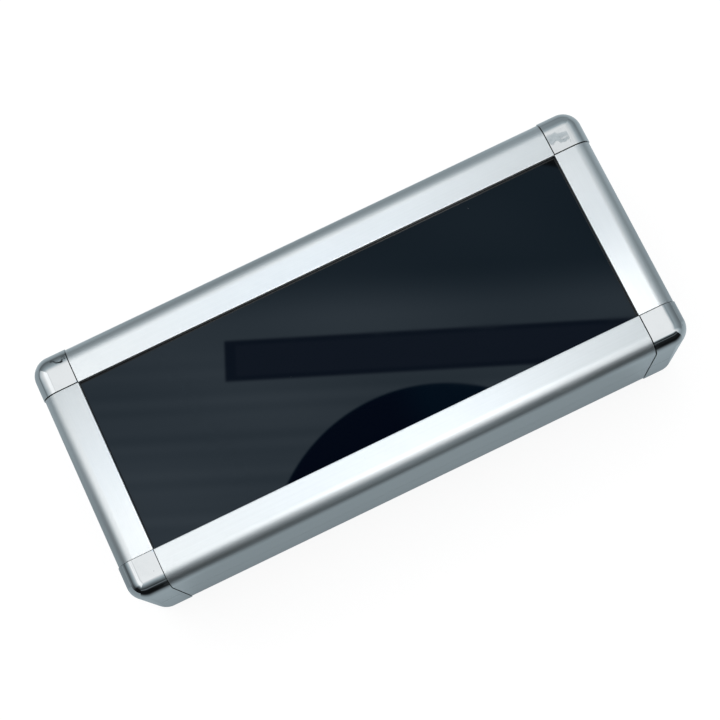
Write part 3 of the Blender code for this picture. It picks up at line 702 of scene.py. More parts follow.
def radial(outline, bearings):
    """Where rays from the middle meet an outline that turns once round it: the cross product of a side's
    start and run, over that of the ray and the run, is the distance."""
    own = np.arctan2(outline[:, 1], outline[:, 0])
    first = int(np.argmin(own))
    outline, own = np.roll(outline, -first, axis=0), np.roll(own, -first)
    closed = np.concatenate([outline[-1:], outline, outline[:1]])
    bounds = np.concatenate([[own[-1] - 2 * math.pi], own, [own[0] + 2 * math.pi]])
    place = np.clip(np.searchsorted(bounds, bearings, side="right") - 1, 0, len(bounds) - 2)
    foot, run = closed[place], closed[place + 1] - closed[place]
    ray = np.stack([np.cos(bearings), np.sin(bearings)], axis=1)
    over = foot[:, 0] * run[:, 1] - foot[:, 1] * run[:, 0]
    under = ray[:, 0] * run[:, 1] - ray[:, 1] * run[:, 0]
    return ray * (over / under)[:, None]


def fingered(half_x, half_y):
    """Outline of the well with a round cut-out for a fingertip at each end."""
    right = [(half_x, -half_y, WELL_CORNER_RADIUS), (half_x, -FINGER_RADIUS, FINGER_LEAD),
             (half_x + FINGER_RADIUS, -FINGER_RADIUS, FINGER_BEND),
             (half_x + FINGER_RADIUS, FINGER_RADIUS, FINGER_BEND),
             (half_x, FINGER_RADIUS, FINGER_LEAD), (half_x, half_y, WELL_CORNER_RADIUS)]
    corners = np.array(right + [(-x, -y, radius) for x, y, radius in right])
    return rounded_outline(corners[:, :2], corners[:, 2])[0]


def drill(made, parts):
    """Pockets cut out of a piece by closed shapes."""
    mesh = joined("drill", parts)
    shape = bmesh.new()
    shape.from_mesh(mesh)
    bmesh.ops.recalc_face_normals(shape, faces=shape.faces)
    shape.to_mesh(mesh)
    shape.free()
    tool = bpy.data.objects.new("drill", mesh)
    bpy.context.scene.collection.objects.link(tool)
    step = made.modifiers.new("pockets", "BOOLEAN")
    step.solver = "EXACT"
    step.object = tool
    shaped = bpy.data.meshes.new_from_object(made.evaluated_get(bpy.context.evaluated_depsgraph_get()))
    made.modifiers.clear()
    made.data = shaped
    smooth(shaped)
    bpy.data.objects.remove(tool, do_unlink=True)


def foam(name, body, way, wells, discs):
    """Block with a well. Rings of equal bearings round the middle go up its side, over the rounded rim and
    down each step of the well: wells as (outline, level of its floor), way as the side the rim is on."""
    low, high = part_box(name)
    far, rim = (low.z, high.z) if way > 0 else (high.z, low.z)
    middle = np.array([(low.x + high.x) / 2, (low.y + high.y) / 2])
    radius = CORNER_RADIUS - CORNER_PROUD - (HALF_LENGTH - high.x)
    block, _ = rectangle((high.x - low.x) / 2, (high.y - low.y) / 2, radius)
    outlines = [block] + [outline for outline, _ in wells]
    bearings = np.concatenate([np.arctan2(line[:, 1], line[:, 0]) for line in outlines])
    bearings = np.unique(np.round(bearings, 9))
    block, *steps = [radial(line, bearings) for line in outlines]
    turn = np.linspace(0, math.pi / 2, FEWEST_STEPS + 1)
    drawn, climb = FOAM_EDGE * (1 - np.sin(turn)), FOAM_EDGE * (1 - np.cos(turn))
    stations = [(block, inset, far + way * run, 1.0) for inset, run in zip(drawn, climb)]
    stations += [(block, inset, rim - way * run, 1.0) for inset, run in zip(drawn[::-1], climb[::-1])]
    stations += [(block, FOAM_EDGE + SUPPORT, rim, 0.0), (steps[0], -FOAM_EDGE - SUPPORT, rim, 0.0)]
    stations += [(steps[0], -inset, rim - way * run, 1.0) for inset, run in zip(drawn, climb)]
    above = rim
    for outline, (_, floor_level) in zip(steps, wells):
        if above != rim:
            stations.append((outline, 0, above, 0.0))
        stations.append((outline, 0, floor_level, 0.0))
        above = floor_level
    rings = np.stack([np.column_stack([outline - outward(outline) * inset + middle,
                                       np.full(len(outline), height)])
                      for outline, inset, height, _ in stations])
    points, faces = lofted(rings)
    wear = np.repeat([value for *_, value in stations], len(bearings))
    made = piece(name, [(points, faces, wear)], FOAM, body)
    pockets = []
    for disc_name in discs:
        disc_low, disc_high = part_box(disc_name)
        centre = ((disc_low.x + disc_high.x) / 2, (disc_low.y + disc_high.y) / 2, 0)
        deep, clear = rim - way * (DISC_DEPTH + FIT_GAP), rim + way * DISC_DEPTH
        pockets.append(turned([(min(deep, clear), DISC_RADIUS + FIT_GAP),
                               (max(deep, clear), DISC_RADIUS + FIT_GAP)], centre, 2))
    drill(made, pockets)
    return made


def disc(name, body):
    """Flat round disc with rounded rims."""
    low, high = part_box(name)
    corners = [(low.z, (high.x - low.x) / 2), (high.z, (high.x - low.x) / 2)]
    profile, edges = turned_outline(corners, [DISC_EDGE, DISC_EDGE])
    centre = ((low.x + high.x) / 2, (low.y + high.y) / 2, 0)
    return piece(name, [turned(profile, centre, 2, edges)], STEEL, body)


tile_low, tile_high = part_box("tile_1")
WELL_HALF_LENGTH = tile_high.x + TILE_PLAY
WELL_HALF_WIDTH = (tile_high.y - tile_low.y) / 2 + TILE_PLAY
LINER_WELL_HALF_WIDTH = WELL_HALF_WIDTH + LINER_PLAY
WELL_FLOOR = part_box("tile_1_spacer_left")[0].z - FIT_GAP
WELL_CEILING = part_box("lid_liner")[1].z - LINER_CEILING

foam("base_tray", "base", 1,
     [(fingered(WELL_HALF_LENGTH, WELL_HALF_WIDTH), WELL_FLOOR + FINGER_STEP),
      (rectangle(WELL_HALF_LENGTH, WELL_HALF_WIDTH, WELL_CORNER_RADIUS)[0], WELL_FLOOR)],
     ("base_magnet_left", "base_magnet_right"))
foam("lid_liner", "lid", -1,
     [(rectangle(WELL_HALF_LENGTH, LINER_WELL_HALF_WIDTH, WELL_CORNER_RADIUS)[0], WELL_CEILING)],
     ("lid_strike_left", "lid_strike_right"))
for side_name in SIDES:
    disc(f"base_magnet_{side_name}", "base")
    disc(f"lid_strike_{side_name}", "lid")
for number in range(1, TILE_COUNT + 1):
    plate(f"tile_{number}", TILE_CORNER_RADIUS, TILE_EDGE, MILKY, "base")
    for side_name in SIDES:
        plate(f"tile_{number}_spacer_{side_name}", SPACER_CORNER_RADIUS, SPACER_EDGE, RUBBER, "base")


# Hinges

def knuckle_section():
    """Section of a rolled knuckle as (out from the axis, towards the leaf): a strip that comes along the
    wall and turns five sixths of the way round the pin."""
    outer_turn = np.radians(np.linspace(0, ROLLED_DEGREES, MOST_STEPS + 1))
    inner_turn = np.radians(np.linspace(ROLLED_DEGREES, -OVERLAP_DEGREES, MOST_STEPS + 1))
    outer = KNUCKLE_RADIUS * np.stack([-np.cos(outer_turn), -np.sin(outer_turn)], axis=1)
    inner = BORE_RADIUS * np.stack([-np.cos(inner_turn), -np.sin(inner_turn)], axis=1)
    foot = LEAF_EDGE + LEAF_BREAK
    strip = np.array([(LEAF_THICKNESS - STRIP_INSET, foot), (STRIP_INSET, foot)]) - [KNUCKLE_RADIUS, 0]
    return np.concatenate([outer, inner, strip])


def leaf(name, body, way):
    """Plate with rounded corners, and its knuckles rolled round the pin: two outer ones or a middle one."""
    low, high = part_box(name)
    axis_y = high.y - KNUCKLE_RADIUS
    middle, half = (low.x + high.x) / 2, (high.x - low.x) / 2
    plate_corners = [(half, LEAF_EDGE), (half, LEAF_HEIGHT), (-half, LEAF_HEIGHT), (-half, LEAF_EDGE)]
    outline, edges = rounded_outline(plate_corners, [LEAF_BREAK, LEAF_CORNER, LEAF_CORNER, LEAF_BREAK])
    outline = np.stack([middle + outline[:, 0], PARTING_PLANE + way * outline[:, 1]], axis=1)
    parts = [prism(outline, edges, low.y, low.y + LEAF_THICKNESS, LEAF_BREAK, (0, 2, 1))]
    section = knuckle_section()
    section = np.stack([axis_y + section[:, 0], PARTING_PLANE + way * section[:, 1]], axis=1)
    length = (2 * half - (KNUCKLE_COUNT - 1) * FIT_GAP) / KNUCKLE_COUNT
    for place in range(KNUCKLE_COUNT):
        if (place % 2 == 0) == (body == "base"):
            start = middle - half + place * (length + FIT_GAP)
            parts.append(prism(section, np.zeros(len(section)), start, start + length, SAW_BREAK, (1, 2, 0)))
    return piece(name, parts, CHROME, body)


def pin(name):
    """Pin with a domed head at each end."""
    low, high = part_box(name)
    inner_low, inner_high = low.x + PIN_HEAD_LENGTH, high.x - PIN_HEAD_LENGTH
    corners = [(low.x, PIN_HEAD_RADIUS), (inner_low, PIN_HEAD_RADIUS), (inner_low, PIN_RADIUS),
               (inner_high, PIN_RADIUS), (inner_high, PIN_HEAD_RADIUS), (high.x, PIN_HEAD_RADIUS)]
    dome, small = PIN_HEAD_LENGTH * PIN_DOME_SHARE, PIN_HEAD_LENGTH * RIM_SHARE
    profile, edges = turned_outline(corners, [dome, small, small, small, small, dome])
    centre = (0, (low.y + high.y) / 2, (low.z + high.z) / 2)
    return piece(name, [turned(profile, centre, 0, edges)], STEEL, "base")


def rivet(name, body):
    """Rivet with a domed head on the leaf and a flat tail inside the wall."""
    low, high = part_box(name)
    head, tail = high.y - RIVET_HEAD_HEIGHT, low.y + RIVET_HEAD_HEIGHT
    corners = [(low.y, RIVET_TAIL_RADIUS), (tail, RIVET_TAIL_RADIUS), (tail, RIVET_RADIUS),
               (head, RIVET_RADIUS), (head, RIVET_HEAD_RADIUS), (high.y, RIVET_HEAD_RADIUS)]
    dome, small = RIVET_HEAD_HEIGHT * RIVET_DOME_SHARE, RIVET_HEAD_HEIGHT * RIM_SHARE
    profile, edges = turned_outline(corners, [small, small, small, small, small, dome])
    centre = ((low.x + high.x) / 2, 0, (low.z + high.z) / 2)
    return piece(name, [turned(profile, centre, 1, edges)], CHROME, body)


for hinge in SIDES:
    leaf(f"hinge_{hinge}_base_leaf", "base", -1)
    leaf(f"hinge_{hinge}_lid_leaf", "lid", 1)
    pin(f"hinge_{hinge}_pin")
    for side_name in SIDES:
        rivet(f"rivet_base_{hinge}_{side_name}", "base")
        rivet(f"rivet_lid_{hinge}_{side_name}", "lid")


# Studio

# Camera, where the unseen cards stand, and the share of light that the polished metal mirrors
CAMERA_PLACE = (-0.02225, -0.13754, 0.69891)
CAMERA_TURN = (11.27774, 3.31208, -25.46792)
LENS = 87.278
SENSOR = 36.0
CARD_HEIGHT = 1.2
CARD_STEP = 0.001
SURROUND_DISTANCE = 15.0
MIRROR_SHARE = 0.79

# Leans aside at which the corners and the ends of the rails mirror the room: along x, then along y, where
# the last three lie out towards the front
LEFT_CORNER, LEFT_RAIL, RIGHT_RAIL, RIGHT_CORNER = -0.127, -0.085, 0.165, 0.183
FRONT_CORNER, FRONT_RAIL, BACK_RAIL, BACK_CORNER = 0.156, 0.175, 0.245, 0.265
NEAR_FRONT, OUT_FRONT, FAR_FRONT = -0.22, -0.34, -0.52
# The room that the rounded edges and the polished corners mirror. Each side of it has upright strips at
# those leans, and each strip has a ramp of tones, from 0 for black to 255 for white, by degrees from
# straight up: the ceiling comes first, then the wall, then the wall's foot.
BACK_WALL = {24: 234, 33: 228, 42: 213, 50: 192, 64: 140, 88: 108}
ROOM = {
    "front": {
        LEFT_CORNER: {10: 230, 25: 160, 42: 88, 50: 52, 54: 66, 56: 108, 58: 108, 60: 60, 67: 16, 92: 16},
        LEFT_RAIL: {33: 230, 42: 200, 50: 136, 56: 106, 63: 122, 92: 100},
        RIGHT_RAIL: {38: 232, 42: 224, 50: 180, 56: 140, 92: 120},
        RIGHT_CORNER: {38: 228, 42: 150, 50: 26, 54: 40, 56: 100, 58: 100, 60: 32, 92: 12}},
    "back": {
        LEFT_CORNER: {15: 230, 24: 218, 42: 158, 60: 125, 88: 88},
        LEFT_RAIL: BACK_WALL,
        RIGHT_RAIL: BACK_WALL,
        RIGHT_CORNER: {24: 220, 33: 200, 42: 160, 60: 131}},
    "left": {
        FAR_FRONT: {22: 234, 34: 208, 43: 100, 63: 14, 92: 20},
        OUT_FRONT: {22: 238, 34: 224, 43: 120, 63: 20, 92: 30},
        NEAR_FRONT: {12: 232, 16: 208, 22: 244, 34: 246, 43: 184, 72: 50, 92: 80},
        FRONT_CORNER: {12: 232, 16: 206, 22: 246, 34: 248, 43: 190, 52: 158, 72: 75, 84: 120},
        FRONT_RAIL: {12: 206, 22: 236, 38: 234, 72: 104, 84: 120},
        BACK_RAIL: {16: 228, 38: 238, 43: 216, 72: 122},
        BACK_CORNER: {12: 230, 16: 198, 22: 249, 38: 251, 52: 212, 72: 184, 84: 110}},
    "right": {
        FAR_FRONT: {28: 236, 56: 196, 78: 150},
        OUT_FRONT: {0: 235, 20: 226, 28: 210, 37: 160, 46: 150, 78: 112},
        FRONT_CORNER: {0: 235, 20: 227, 28: 205, 37: 136, 46: 148, 78: 107},
        FRONT_RAIL: {15: 190, 28: 220, 78: 126},
        BACK_RAIL: {15: 204, 28: 226, 78: 127},
        BACK_CORNER: {20: 214, 46: 184, 56: 152, 78: 118}},
}
ROOM_STEPS = (181, 121)
# Brighter and dimmer parts of the ceiling, between the directions that the corners and the panel mirror:
# bounds of the lean along x and along y for each unit of height, and the share of light added
BRIGHT_AND_DIM = [
    ((-0.112, 0.180), (-0.38, 0.126), 0.86),
    ((0.100, 0.180), (-0.38, 0.126), 1.20),
    ((0.100, 0.180), (0.300, 0.70), 1.30),
    ((0.186, 0.60), (0.160, 0.262), -0.55),
    ((-0.60, -0.124), (0.160, 0.215), -0.24),
    ((-0.60, -0.156), (0.200, 0.256), 1.10),
]
ZONE_BLUR = 0.014
# Shares of red, green and blue that the room's dark and bright tones have
DARK_CAST = np.array([0.82, 0.985, 1.07])
BRIGHT_CAST = np.array([0.965, 1.0, 1.015])
# Ramps of the table's tone by distance from the case in metres, darker close to the case as a painted shadow
# of the case, and the painted light that it gains beside the corners
TABLE_TONE_AND_SHADOW = {
    "front": {0: 114, 0.002: 118, 0.008: 128, 0.02: 132, 0.04: 135, 0.08: 128, 0.14: 104, 0.36: 48, 1.0: 22},
    "back": {0: 128, 0.01: 146, 0.04: 152, 0.12: 134, 0.36: 116, 1.0: 104},
    "left": {0: 120, 0.01: 134, 0.04: 136, 0.12: 128, 0.36: 126},
    "right": {0: 130, 0.01: 144, 0.04: 150, 0.12: 138, 0.36: 128, 1.0: 121},
}
BESIDE_CORNER_PAINTED_LIGHT = 0.3
BESIDE_BLUR = 0.006
TABLE_START = 0.98
TABLE_LEVEL = -0.00002
# Painted shade: the dark glow of the table under the case, where the case shades it
UNDER_PAINTED_SHADE = 0.12
UNDER_LEVEL = -0.00004

# What the panel mirrors, drawn by place on the panel: the share of light that it mirrors near straight on
# and its own glow, then tones and the places where they change. A fade is its depth, start and end. A streak
# is its size, pitch and start. The beam's outlines are its near side, far side, left end and blur. Colour
# casts are for red, green and blue.
PANEL_MIRROR = 0.0337
PANEL_GLOW = 0.0022
OPENING_MARGIN = 0.0008
MARGIN_BLUR = 0.0006
CEILING_TONE = 50
CEILING_CAST = np.array([-7, 0, 6])
FAR_DIM = (16, 0.012, 0.032)
RIGHT_DIM = (3, -0.02, 0.06)
NEAR_LIFT = (3, 0.03, 0.06)
STREAKS = ((1.30, 700, 0.0), (0.78, 1130, 1.0), (0.65, 310, 2.0))
STREAK_BLUR = (-0.010, 0.012)
CLOUD_DEPTH = 2.0
BEAM_RUN = (0.922, 0.387)
BEAM_OUTLINE = (-0.0098, 0.0058, -0.0508, 0.0014)
BEAM_MIDDLE = (-0.0078, 0.0040, -0.0466, 0.0012)
BEAM_TONE = 19
MIDDLE_LIFT = 4
BEAM_CAST = np.array([-4, 0, 8])
BALL_CENTRE = (-0.0037, -0.0849)
BALL_RADIUS = 0.0650
BALL_BLUR = 0.0010
BALL_TONES = np.array([2, 9, 18])
BALL_LIFT = (6, 0.0, 0.02)
DARK_CORNER = (0.0925, 0.0348)
DARK_CORNER_FACING = (0.58, 0.81)
DARK_CORNER_BLUR = 0.0012
DARK_CORNER_TONE = 14

# Wavy near border of the dull patch by place along it, the hook at the border's end, and their tones
PATCH_BORDER = {0: 0.0046, 0.0009: 0.0048, 0.0030: 0.0053, 0.0045: 0.0044, 0.0060: 0.0041, 0.0090: 0.0034}
PATCH_TONE = 186
BORDER_DEPTH = 60
BORDER_WIDTH = 0.00022
BORDER_END = 0.0091
HOOK_PLACE = 0.0090
HOOK_WIDTH = 0.00020
# The cable's tone, the reach of its dark middle, its blurred reach and how much each run swells
CABLE_TONE = 12
CABLE_CORE = 0.00016
CABLE_REACH = 0.00042
CABLE_SWELL = 0.00008
# The cable's course in the lid's plane, out from the opening's corner
CABLE = [(0.0009, 0.0120), (0.0010, 0.0109), (0.0016, 0.0102), (0.0030, 0.0100), (0.0044, 0.0103),
         (0.0055, 0.0112), (0.0066, 0.0118), (0.0083, 0.0119)]
SOFT_BOX_PLACE = (-0.3, 0.8, 1.6)
SOFT_BOX_TURN = (-26, -10, 0)
SOFT_BOX_SIZE = 1.5
SOFT_BOX_POWER = 9.0
FLOOR_REACH = 20.0
FLOOR_LEVEL = -0.0001
FLOOR_GLOW_SHARE = 0.80
FLOOR_GLOW = 1.07
WORLD_LIGHT = 0.80
TOWARDS = {"front": (0, -1), "back": (0, 1), "left": (-1, 0), "right": (1, 0)}


def camera():
    """The camera at the photograph's viewing angle."""
    made = bpy.data.objects.new("camera", bpy.data.cameras.new("camera"))
    made.data.lens = LENS
    made.data.sensor_width = SENSOR
    made.data.clip_start = 0.01
    made.location = CAMERA_PLACE
    made.rotation_euler = [math.radians(angle) for angle in CAMERA_TURN]
    bpy.context.scene.collection.objects.link(made)
    bpy.context.scene.camera = made


def light_of(value):
    """Light of a screen value from 0 to 255, by the screen's own curve."""
    value = np.clip(np.asarray(value, float) / 255, 0, 1)
    return np.where(value <= 0.04045, value / 12.92, ((value + 0.055) / 1.055) ** 2.4)


def ramp(stops, value):
    """Light at a value along a ramp of {value: tone}, with the tone straight between its stops."""
    return light_of(np.interp(value, list(stops), list(stops.values())))


def rise(value, low, high):
    """0 below low, 1 above high, smooth between."""
    share = np.clip((value - low) / (high - low), 0, 1)
    return share * share * (3 - 2 * share)


def cooled(tone):
    """Colour of a grey surround: a little blue and short of red, less so where it is bright."""
    plain = rise(tone, 0.32, 0.95)[..., None]
    return tone[..., None] * ((1 - plain) * DARK_CAST + plain * BRIGHT_CAST)


def grid_card(name, places, glow, cover=None):
    """Card that only polished surfaces see: a grid of places, each with its glow and how far it covers."""
    rows, columns = places.shape[:2]
    row, column = np.meshgrid(np.arange(rows - 1), np.arange(columns - 1), indexing="ij")
    corner_of = row * columns + column
    faces = np.stack([corner_of, corner_of + 1, corner_of + columns + 1, corner_of + columns], axis=-1)
    mesh = bpy.data.meshes.new(name)
    mesh.from_pydata(places.reshape(-1, 3), [], faces.reshape(-1, 4).tolist())
    cover = np.ones(places.shape[:2]) if cover is None else cover
    colours = np.concatenate([glow.reshape(-1, 3), cover.reshape(-1, 1)], axis=1)
    mesh.attributes.new("glow", "FLOAT_COLOR", "POINT").data.foreach_set("color", colours.reshape(-1))
    mesh.materials.append(bpy.data.materials["card_glow"])
    made = bpy.data.objects.new(name, mesh)
    bpy.context.scene.collection.objects.link(made)
    made.visible_camera = False
    made.visible_diffuse = False
    made.visible_shadow = False
    made.visible_transmission = False
    made.visible_volume_scatter = False
    return made


def card_material():
    """Glow by the card's own colour attribute, clear where its alpha is 0."""
    made = bpy.data.materials.new("card_glow")
    made.use_nodes = True
    tree = made.node_tree
    tree.nodes.clear()
    glow = add(tree, "ShaderNodeAttribute", attribute_name="glow")
    emission = add(tree, "ShaderNodeEmission", {"Color": glow.outputs["Color"], "Strength": 1.0})
    clear = add(tree, "ShaderNodeBsdfTransparent")
    mixed = add(tree, "ShaderNodeMixShader", {"Fac": glow.outputs["Alpha"]})
    tree.links.new(clear.outputs[0], mixed.inputs[1])
    tree.links.new(emission.outputs[0], mixed.inputs[2])
    output = add(tree, "ShaderNodeOutputMaterial")
    tree.links.new(mixed.outputs[0], output.inputs["Surface"])


def surround(side):
    """A quarter of the far surround: directions that lean most to one side. Its tone goes by the greater of
    the lean along x and along y, so the polished corners mirror it with a mitre."""
    strips = ROOM[side]
    lean, across = np.meshgrid(np.radians(np.linspace(0, 90, ROOM_STEPS[0])),
                               np.linspace(-1, 1, ROOM_STEPS[1]), indexing="ij")
    ahead, aside = np.sin(lean), np.sin(lean) * across
    x, y = TOWARDS[side]
    direction = np.stack([ahead * x + aside * abs(y), ahead * y + aside * abs(x), np.cos(lean)], axis=-1)
    direction /= np.linalg.norm(direction, axis=-1)[..., None]
    aside_by = direction[..., 0 if y else 1]
    leans = np.array(sorted(strips))
    values = np.stack([ramp(strips[at], np.degrees(lean)) for at in leans])
    place = np.clip(np.searchsorted(leans, aside_by) - 1, 0, len(leans) - 2)
    share = np.clip((aside_by - leans[place]) / (leans[place + 1] - leans[place]), 0, 1)
    lower, upper = (np.take_along_axis(values, pick[None], axis=0)[0] for pick in (place, place + 1))
    tone = (lower * (1 - share) + upper * share) / MIRROR_SHARE
    slope = direction[..., :2] / np.maximum(direction[..., 2:], 1e-6)
    for (low_x, high_x), (low_y, high_y), extra in BRIGHT_AND_DIM:
        inside = np.minimum(np.minimum(slope[..., 0] - low_x, high_x - slope[..., 0]),
                            np.minimum(slope[..., 1] - low_y, high_y - slope[..., 1]))
        tone = tone * (1 + extra * rise(inside, 0.0, ZONE_BLUR))
    return grid_card(f"surround_{side}", direction * SURROUND_DISTANCE, cooled(tone))


def table_card(side):
    """The table as the sides of the case mirror it: a quarter of it, toned by distance from the case, with a
    painted shadow darkening it close to the case and painted light brightening it beside the corners.
    """
    distance = np.concatenate([np.linspace(0, 0.02, 21), np.linspace(0.025, 0.4, 76),
                               np.geomspace(0.41, SURROUND_DISTANCE, 60)])
    away, across = np.meshgrid(distance, np.linspace(-1, 1, 41), indexing="ij")
    x, y = TOWARDS[side]
    half_x, half_y = away + HALF_LENGTH * TABLE_START, away + HALF_WIDTH * TABLE_START
    places = np.stack([half_x * (x + across * abs(y)), CASE_Y + half_y * (y + across * abs(x)),
                       np.full_like(away, TABLE_LEVEL)], axis=-1)
    beside = np.hypot(np.maximum(np.abs(places[..., 0]) - RAIL_REACH_X, 0) * abs(y),
                      np.maximum(np.abs(places[..., 1] - CASE_Y) - RAIL_REACH_Y, 0) * abs(x))
    # Painted shadow near the case from the ramp, and painted light beside the corners.
    tone = ramp(TABLE_TONE_AND_SHADOW[side], away) / MIRROR_SHARE * (1 + BESIDE_CORNER_PAINTED_LIGHT * rise(beside, 0.0, BESIDE_BLUR))
    return grid_card(f"table_{side}", places, cooled(tone))


def under_card():
    """The patch of table under the case, glowing dark as a painted shade where the case shades it."""
    x, y = np.meshgrid([-HALF_LENGTH, HALF_LENGTH], [CASE_Y - HALF_WIDTH, CASE_Y + HALF_WIDTH])
    places = np.stack([x, y, np.full_like(x, UNDER_LEVEL)], axis=-1)
    return grid_card("table_under_painted_shade", places, cooled(np.full_like(x, UNDER_PAINTED_SHADE)))


def mirrored(points, normals, height):
    """Where the camera's rays, mirrored at points of a surface, reach a height: a ray r turned over a normal
    n becomes r - 2 (r . n) n, and is run on until it has climbed to the height."""
    rays = points - np.array(CAMERA_PLACE)
    turned_over = rays - 2 * np.sum(rays * normals, axis=-1)[..., None] * normals
    return points + turned_over * ((height - points[..., 2]) / turned_over[..., 2])[..., None]


def blended(first, second, share):
    """Colours between two, by a share at each place."""
    return first * (1 - share[..., None]) + second * share[..., None]


def beam_cover(along, across, near, far, end, blur):
    """1 inside a bar that has a near side, a far side and a left end, with blurred borders."""
    between = rise(across, near, near + blur) * (1 - rise(across, far, far + blur))
    return between * rise(along, end, end + blur)


def fade(value, depth, start, stop):
    """0 up to the start, the whole depth from the stop on."""
    return depth * rise(value, start, stop)


def ceiling_card():
    """What the lid's panel mirrors overhead, drawn by place on the panel: a pale ceiling that dims to the far
    right with faint streaks and clouds, then a broad dark beam, a round dark shape and a dark corner."""
    reach_x, reach_y = RAIL_REACH_X + OPENING_MARGIN, RAIL_REACH_Y + OPENING_MARGIN
    x, y = np.meshgrid(np.linspace(-reach_x, reach_x, 405), np.linspace(-reach_y, reach_y, 145))
    along, across = BEAM_RUN[0] * x - BEAM_RUN[1] * y, BEAM_RUN[1] * x + BEAM_RUN[0] * y
    tone = CEILING_TONE - fade(across, *FAR_DIM) - fade(x, *RIGHT_DIM) + fade(-across, *NEAR_LIFT)
    streaks = sum(size * np.sin(across * pitch + start) for size, pitch, start in STREAKS)
    clouds = np.sin(x * 61 + 1.0) * np.sin(y * 83 + x * 40)
    tone = tone + streaks * rise(-across, *STREAK_BLUR) + CLOUD_DEPTH * clouds
    beam_tone = BEAM_TONE + MIDDLE_LIFT * beam_cover(along, across, *BEAM_MIDDLE)
    ball = 1 - rise(np.hypot(x - BALL_CENTRE[0], y - BALL_CENTRE[1]), BALL_RADIUS, BALL_RADIUS + BALL_BLUR)
    past_corner = (x - DARK_CORNER[0]) * DARK_CORNER_FACING[0] + (y - DARK_CORNER[1]) * DARK_CORNER_FACING[1]
    corner = rise(past_corner, 0.0, DARK_CORNER_BLUR)
    colours = blended(tone[..., None] + CEILING_CAST, beam_tone[..., None] + BEAM_CAST,
                      beam_cover(along, across, *BEAM_OUTLINE))
    colours = blended(colours, BALL_TONES + fade(x, *BALL_LIFT)[..., None], ball)
    colours = blended(colours, DARK_CORNER_TONE, corner)
    points = np.stack([x, y + CASE_Y, np.full_like(x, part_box("lid_panel")[1].z)], axis=-1)
    inside = np.minimum(reach_x - np.abs(x), reach_y - np.abs(y))
    return grid_card("ceiling_card", mirrored(points, np.array([0, 0, 1.0]), CARD_HEIGHT),
                     np.clip((light_of(colours) - PANEL_GLOW) / PANEL_MIRROR, 0.0, 2.0),
                     rise(inside, 0.0, MARGIN_BLUR))


def dull_patch():
    """A dull patch of ceiling that the flat of one back corner mirrors, with a wavy near border."""
    x, y = np.meshgrid(np.linspace(0.0002, 0.0098, 97), np.linspace(0.0010, 0.0078, 69))
    border = np.interp(x, list(PATCH_BORDER), list(PATCH_BORDER.values()))
    body = rise(y - border, -0.00010, 0.00010) * (1 - rise(y, 0.0068, 0.0076)) * rise(0.0094 - x, 0.0, 0.0006)
    line = np.exp(-((y - border) / BORDER_WIDTH) ** 2) * rise(BORDER_END - x, 0.0, 0.0002)
    hook = np.exp(-((x - HOOK_PLACE) / HOOK_WIDTH) ** 2)
    hook *= rise(y, 0.0014, 0.0020) * (1 - rise(y, 0.0034, 0.0036))
    mark = np.maximum(line, hook)
    tone = light_of(PATCH_TONE - BORDER_DEPTH * mark) / MIRROR_SHARE
    points = np.stack([RAIL_REACH_X + x, CASE_Y + RAIL_REACH_Y + y,
                       np.full_like(x, LID_PLANE + CORNER_FACE_PROUD)], axis=-1)
    return grid_card("dull_patch", mirrored(points, np.array([0, 0, 1.0]), CARD_HEIGHT - CARD_STEP),
                     cooled(tone), np.clip(body + 0.9 * mark, 0, 1))


def dark_cable():
    """A cable overhead that the rounded edge of the other back corner mirrors as a wavy dark line. The line
    is given by its places in the lid's plane as the camera sees them, out from the opening's corner."""
    path = np.array(CABLE)
    x, turn = np.meshgrid(np.linspace(0.0003, 0.0094, 140), np.radians(np.linspace(6, 44, 140)),
                          indexing="ij")
    normals = np.stack([np.zeros_like(x), np.sin(turn), np.cos(turn)], axis=-1)
    centre_y = CASE_Y + HALF_WIDTH + CORNER_PROUD - CORNER_EDGE_RADIUS
    centre_z = LID_PLANE + CORNER_FACE_PROUD - CORNER_EDGE_RADIUS
    points = np.stack([-RAIL_REACH_X - x, centre_y + CORNER_EDGE_RADIUS * np.sin(turn),
                       centre_z + CORNER_EDGE_RADIUS * np.cos(turn)], axis=-1)
    eye = np.array(CAMERA_PLACE)
    seen = eye + (points - eye) * ((LID_PLANE - eye[2]) / (points[..., 2] - eye[2]))[..., None]
    out_x, out_y = -RAIL_REACH_X - seen[..., 0], seen[..., 1] - CASE_Y - RAIL_REACH_Y
    nearest = np.full_like(x, 1.0)
    for start, stop in zip(path[:-1], path[1:]):
        run = stop - start
        share = np.clip(((out_x - start[0]) * run[0] + (out_y - start[1]) * run[1]) / (run @ run), 0, 1)
        gap = np.hypot(out_x - start[0] - share * run[0], out_y - start[1] - share * run[1])
        nearest = np.minimum(nearest, gap - CABLE_SWELL * share)
    cover = 1 - rise(nearest, CABLE_CORE, CABLE_REACH)
    return grid_card("dark_cable", mirrored(points, normals, CARD_HEIGHT - 2 * CARD_STEP),
                     cooled(np.full_like(x, light_of(CABLE_TONE) / MIRROR_SHARE)), cover)


def seen_directly(tree):
    """1 for rays that show a surface, from the camera, by a mirror or through glass, and 0 for its light."""
    ray = add(tree, "ShaderNodeLightPath")
    shown = combined(tree, ray.outputs["Is Camera Ray"], ray.outputs["Is Glossy Ray"])
    return combined(tree, combined(tree, shown, ray.outputs["Is Transmission Ray"]), 1.0, "MINIMUM")


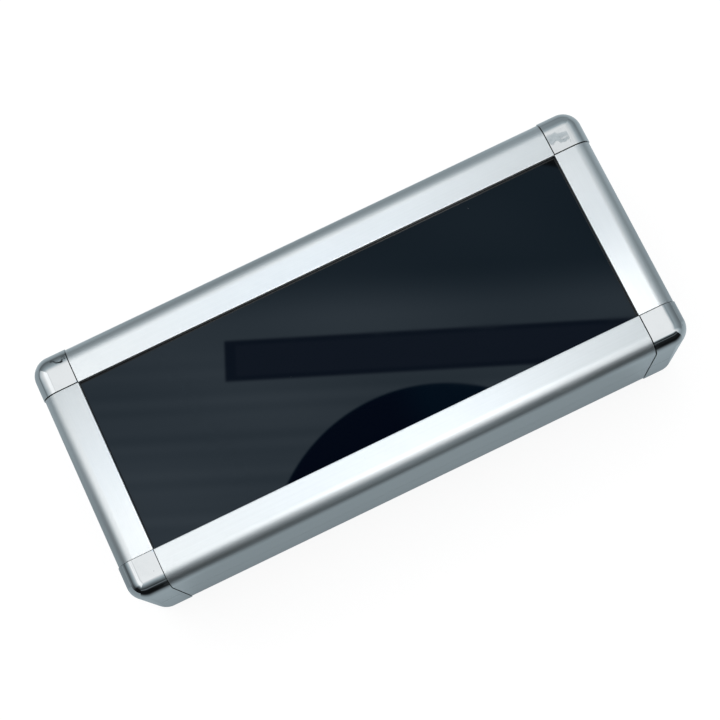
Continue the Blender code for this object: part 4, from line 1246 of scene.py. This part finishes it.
def floor():
    """Plain pale table top. Seen straight on it is nearly white, and keeps a light shadow."""
    mesh = bpy.data.meshes.new("floor")
    mesh.from_pydata([(x * FLOOR_REACH, y * FLOOR_REACH, FLOOR_LEVEL)
                      for x, y in ((-1, -1), (1, -1), (1, 1), (-1, 1))], [], [(0, 1, 2, 3)])
    made = bpy.data.objects.new("floor", mesh)
    bpy.context.scene.collection.objects.link(made)
    surface, tree, shader, _ = new_material("pale_table", (0.92, 0.92, 0.92), Roughness=0.9,
                                            Specular_IOR_Level=0.1)
    share = combined(tree, seen_directly(tree), FLOOR_GLOW_SHARE, "MULTIPLY")
    white = add(tree, "ShaderNodeEmission", {"Color": (1, 1, 1, 1), "Strength": FLOOR_GLOW})
    mixed = add(tree, "ShaderNodeMixShader", {"Fac": share})
    tree.links.new(shader.outputs[0], mixed.inputs[1])
    tree.links.new(white.outputs[0], mixed.inputs[2])
    tree.links.new(mixed.outputs[0], tree.nodes["Material Output"].inputs["Surface"])
    mesh.materials.append(surface)


def lights():
    """An even white world, a little dimmer as light than as background, and one soft box behind."""
    world = bpy.data.worlds.new("studio")
    bpy.context.scene.world = world
    world.use_nodes = True
    tree = world.node_tree
    strength = span(tree, seen_directly(tree), 0.0, 1.0, WORLD_LIGHT, 1.0, eased=False)
    background = tree.nodes["Background"]
    background.inputs["Color"].default_value = (1, 1, 1, 1)
    tree.links.new(strength, background.inputs["Strength"])
    lamp = bpy.data.lights.new("soft_box", "AREA")
    lamp.shape = "SQUARE"
    lamp.size = SOFT_BOX_SIZE
    lamp.energy = SOFT_BOX_POWER
    made = bpy.data.objects.new("soft_box", lamp)
    made.location = SOFT_BOX_PLACE
    made.rotation_euler = [math.radians(angle) for angle in SOFT_BOX_TURN]
    made.visible_glossy = False
    made.visible_camera = False
    bpy.context.scene.collection.objects.link(made)


camera()
card_material()
for side_name in TOWARDS:
    surround(side_name)
    table_card(side_name)
under_card()
ceiling_card()
dull_patch()
dark_cable()
floor()
lights()
bpy.context.scene.view_settings.view_transform = "Standard"
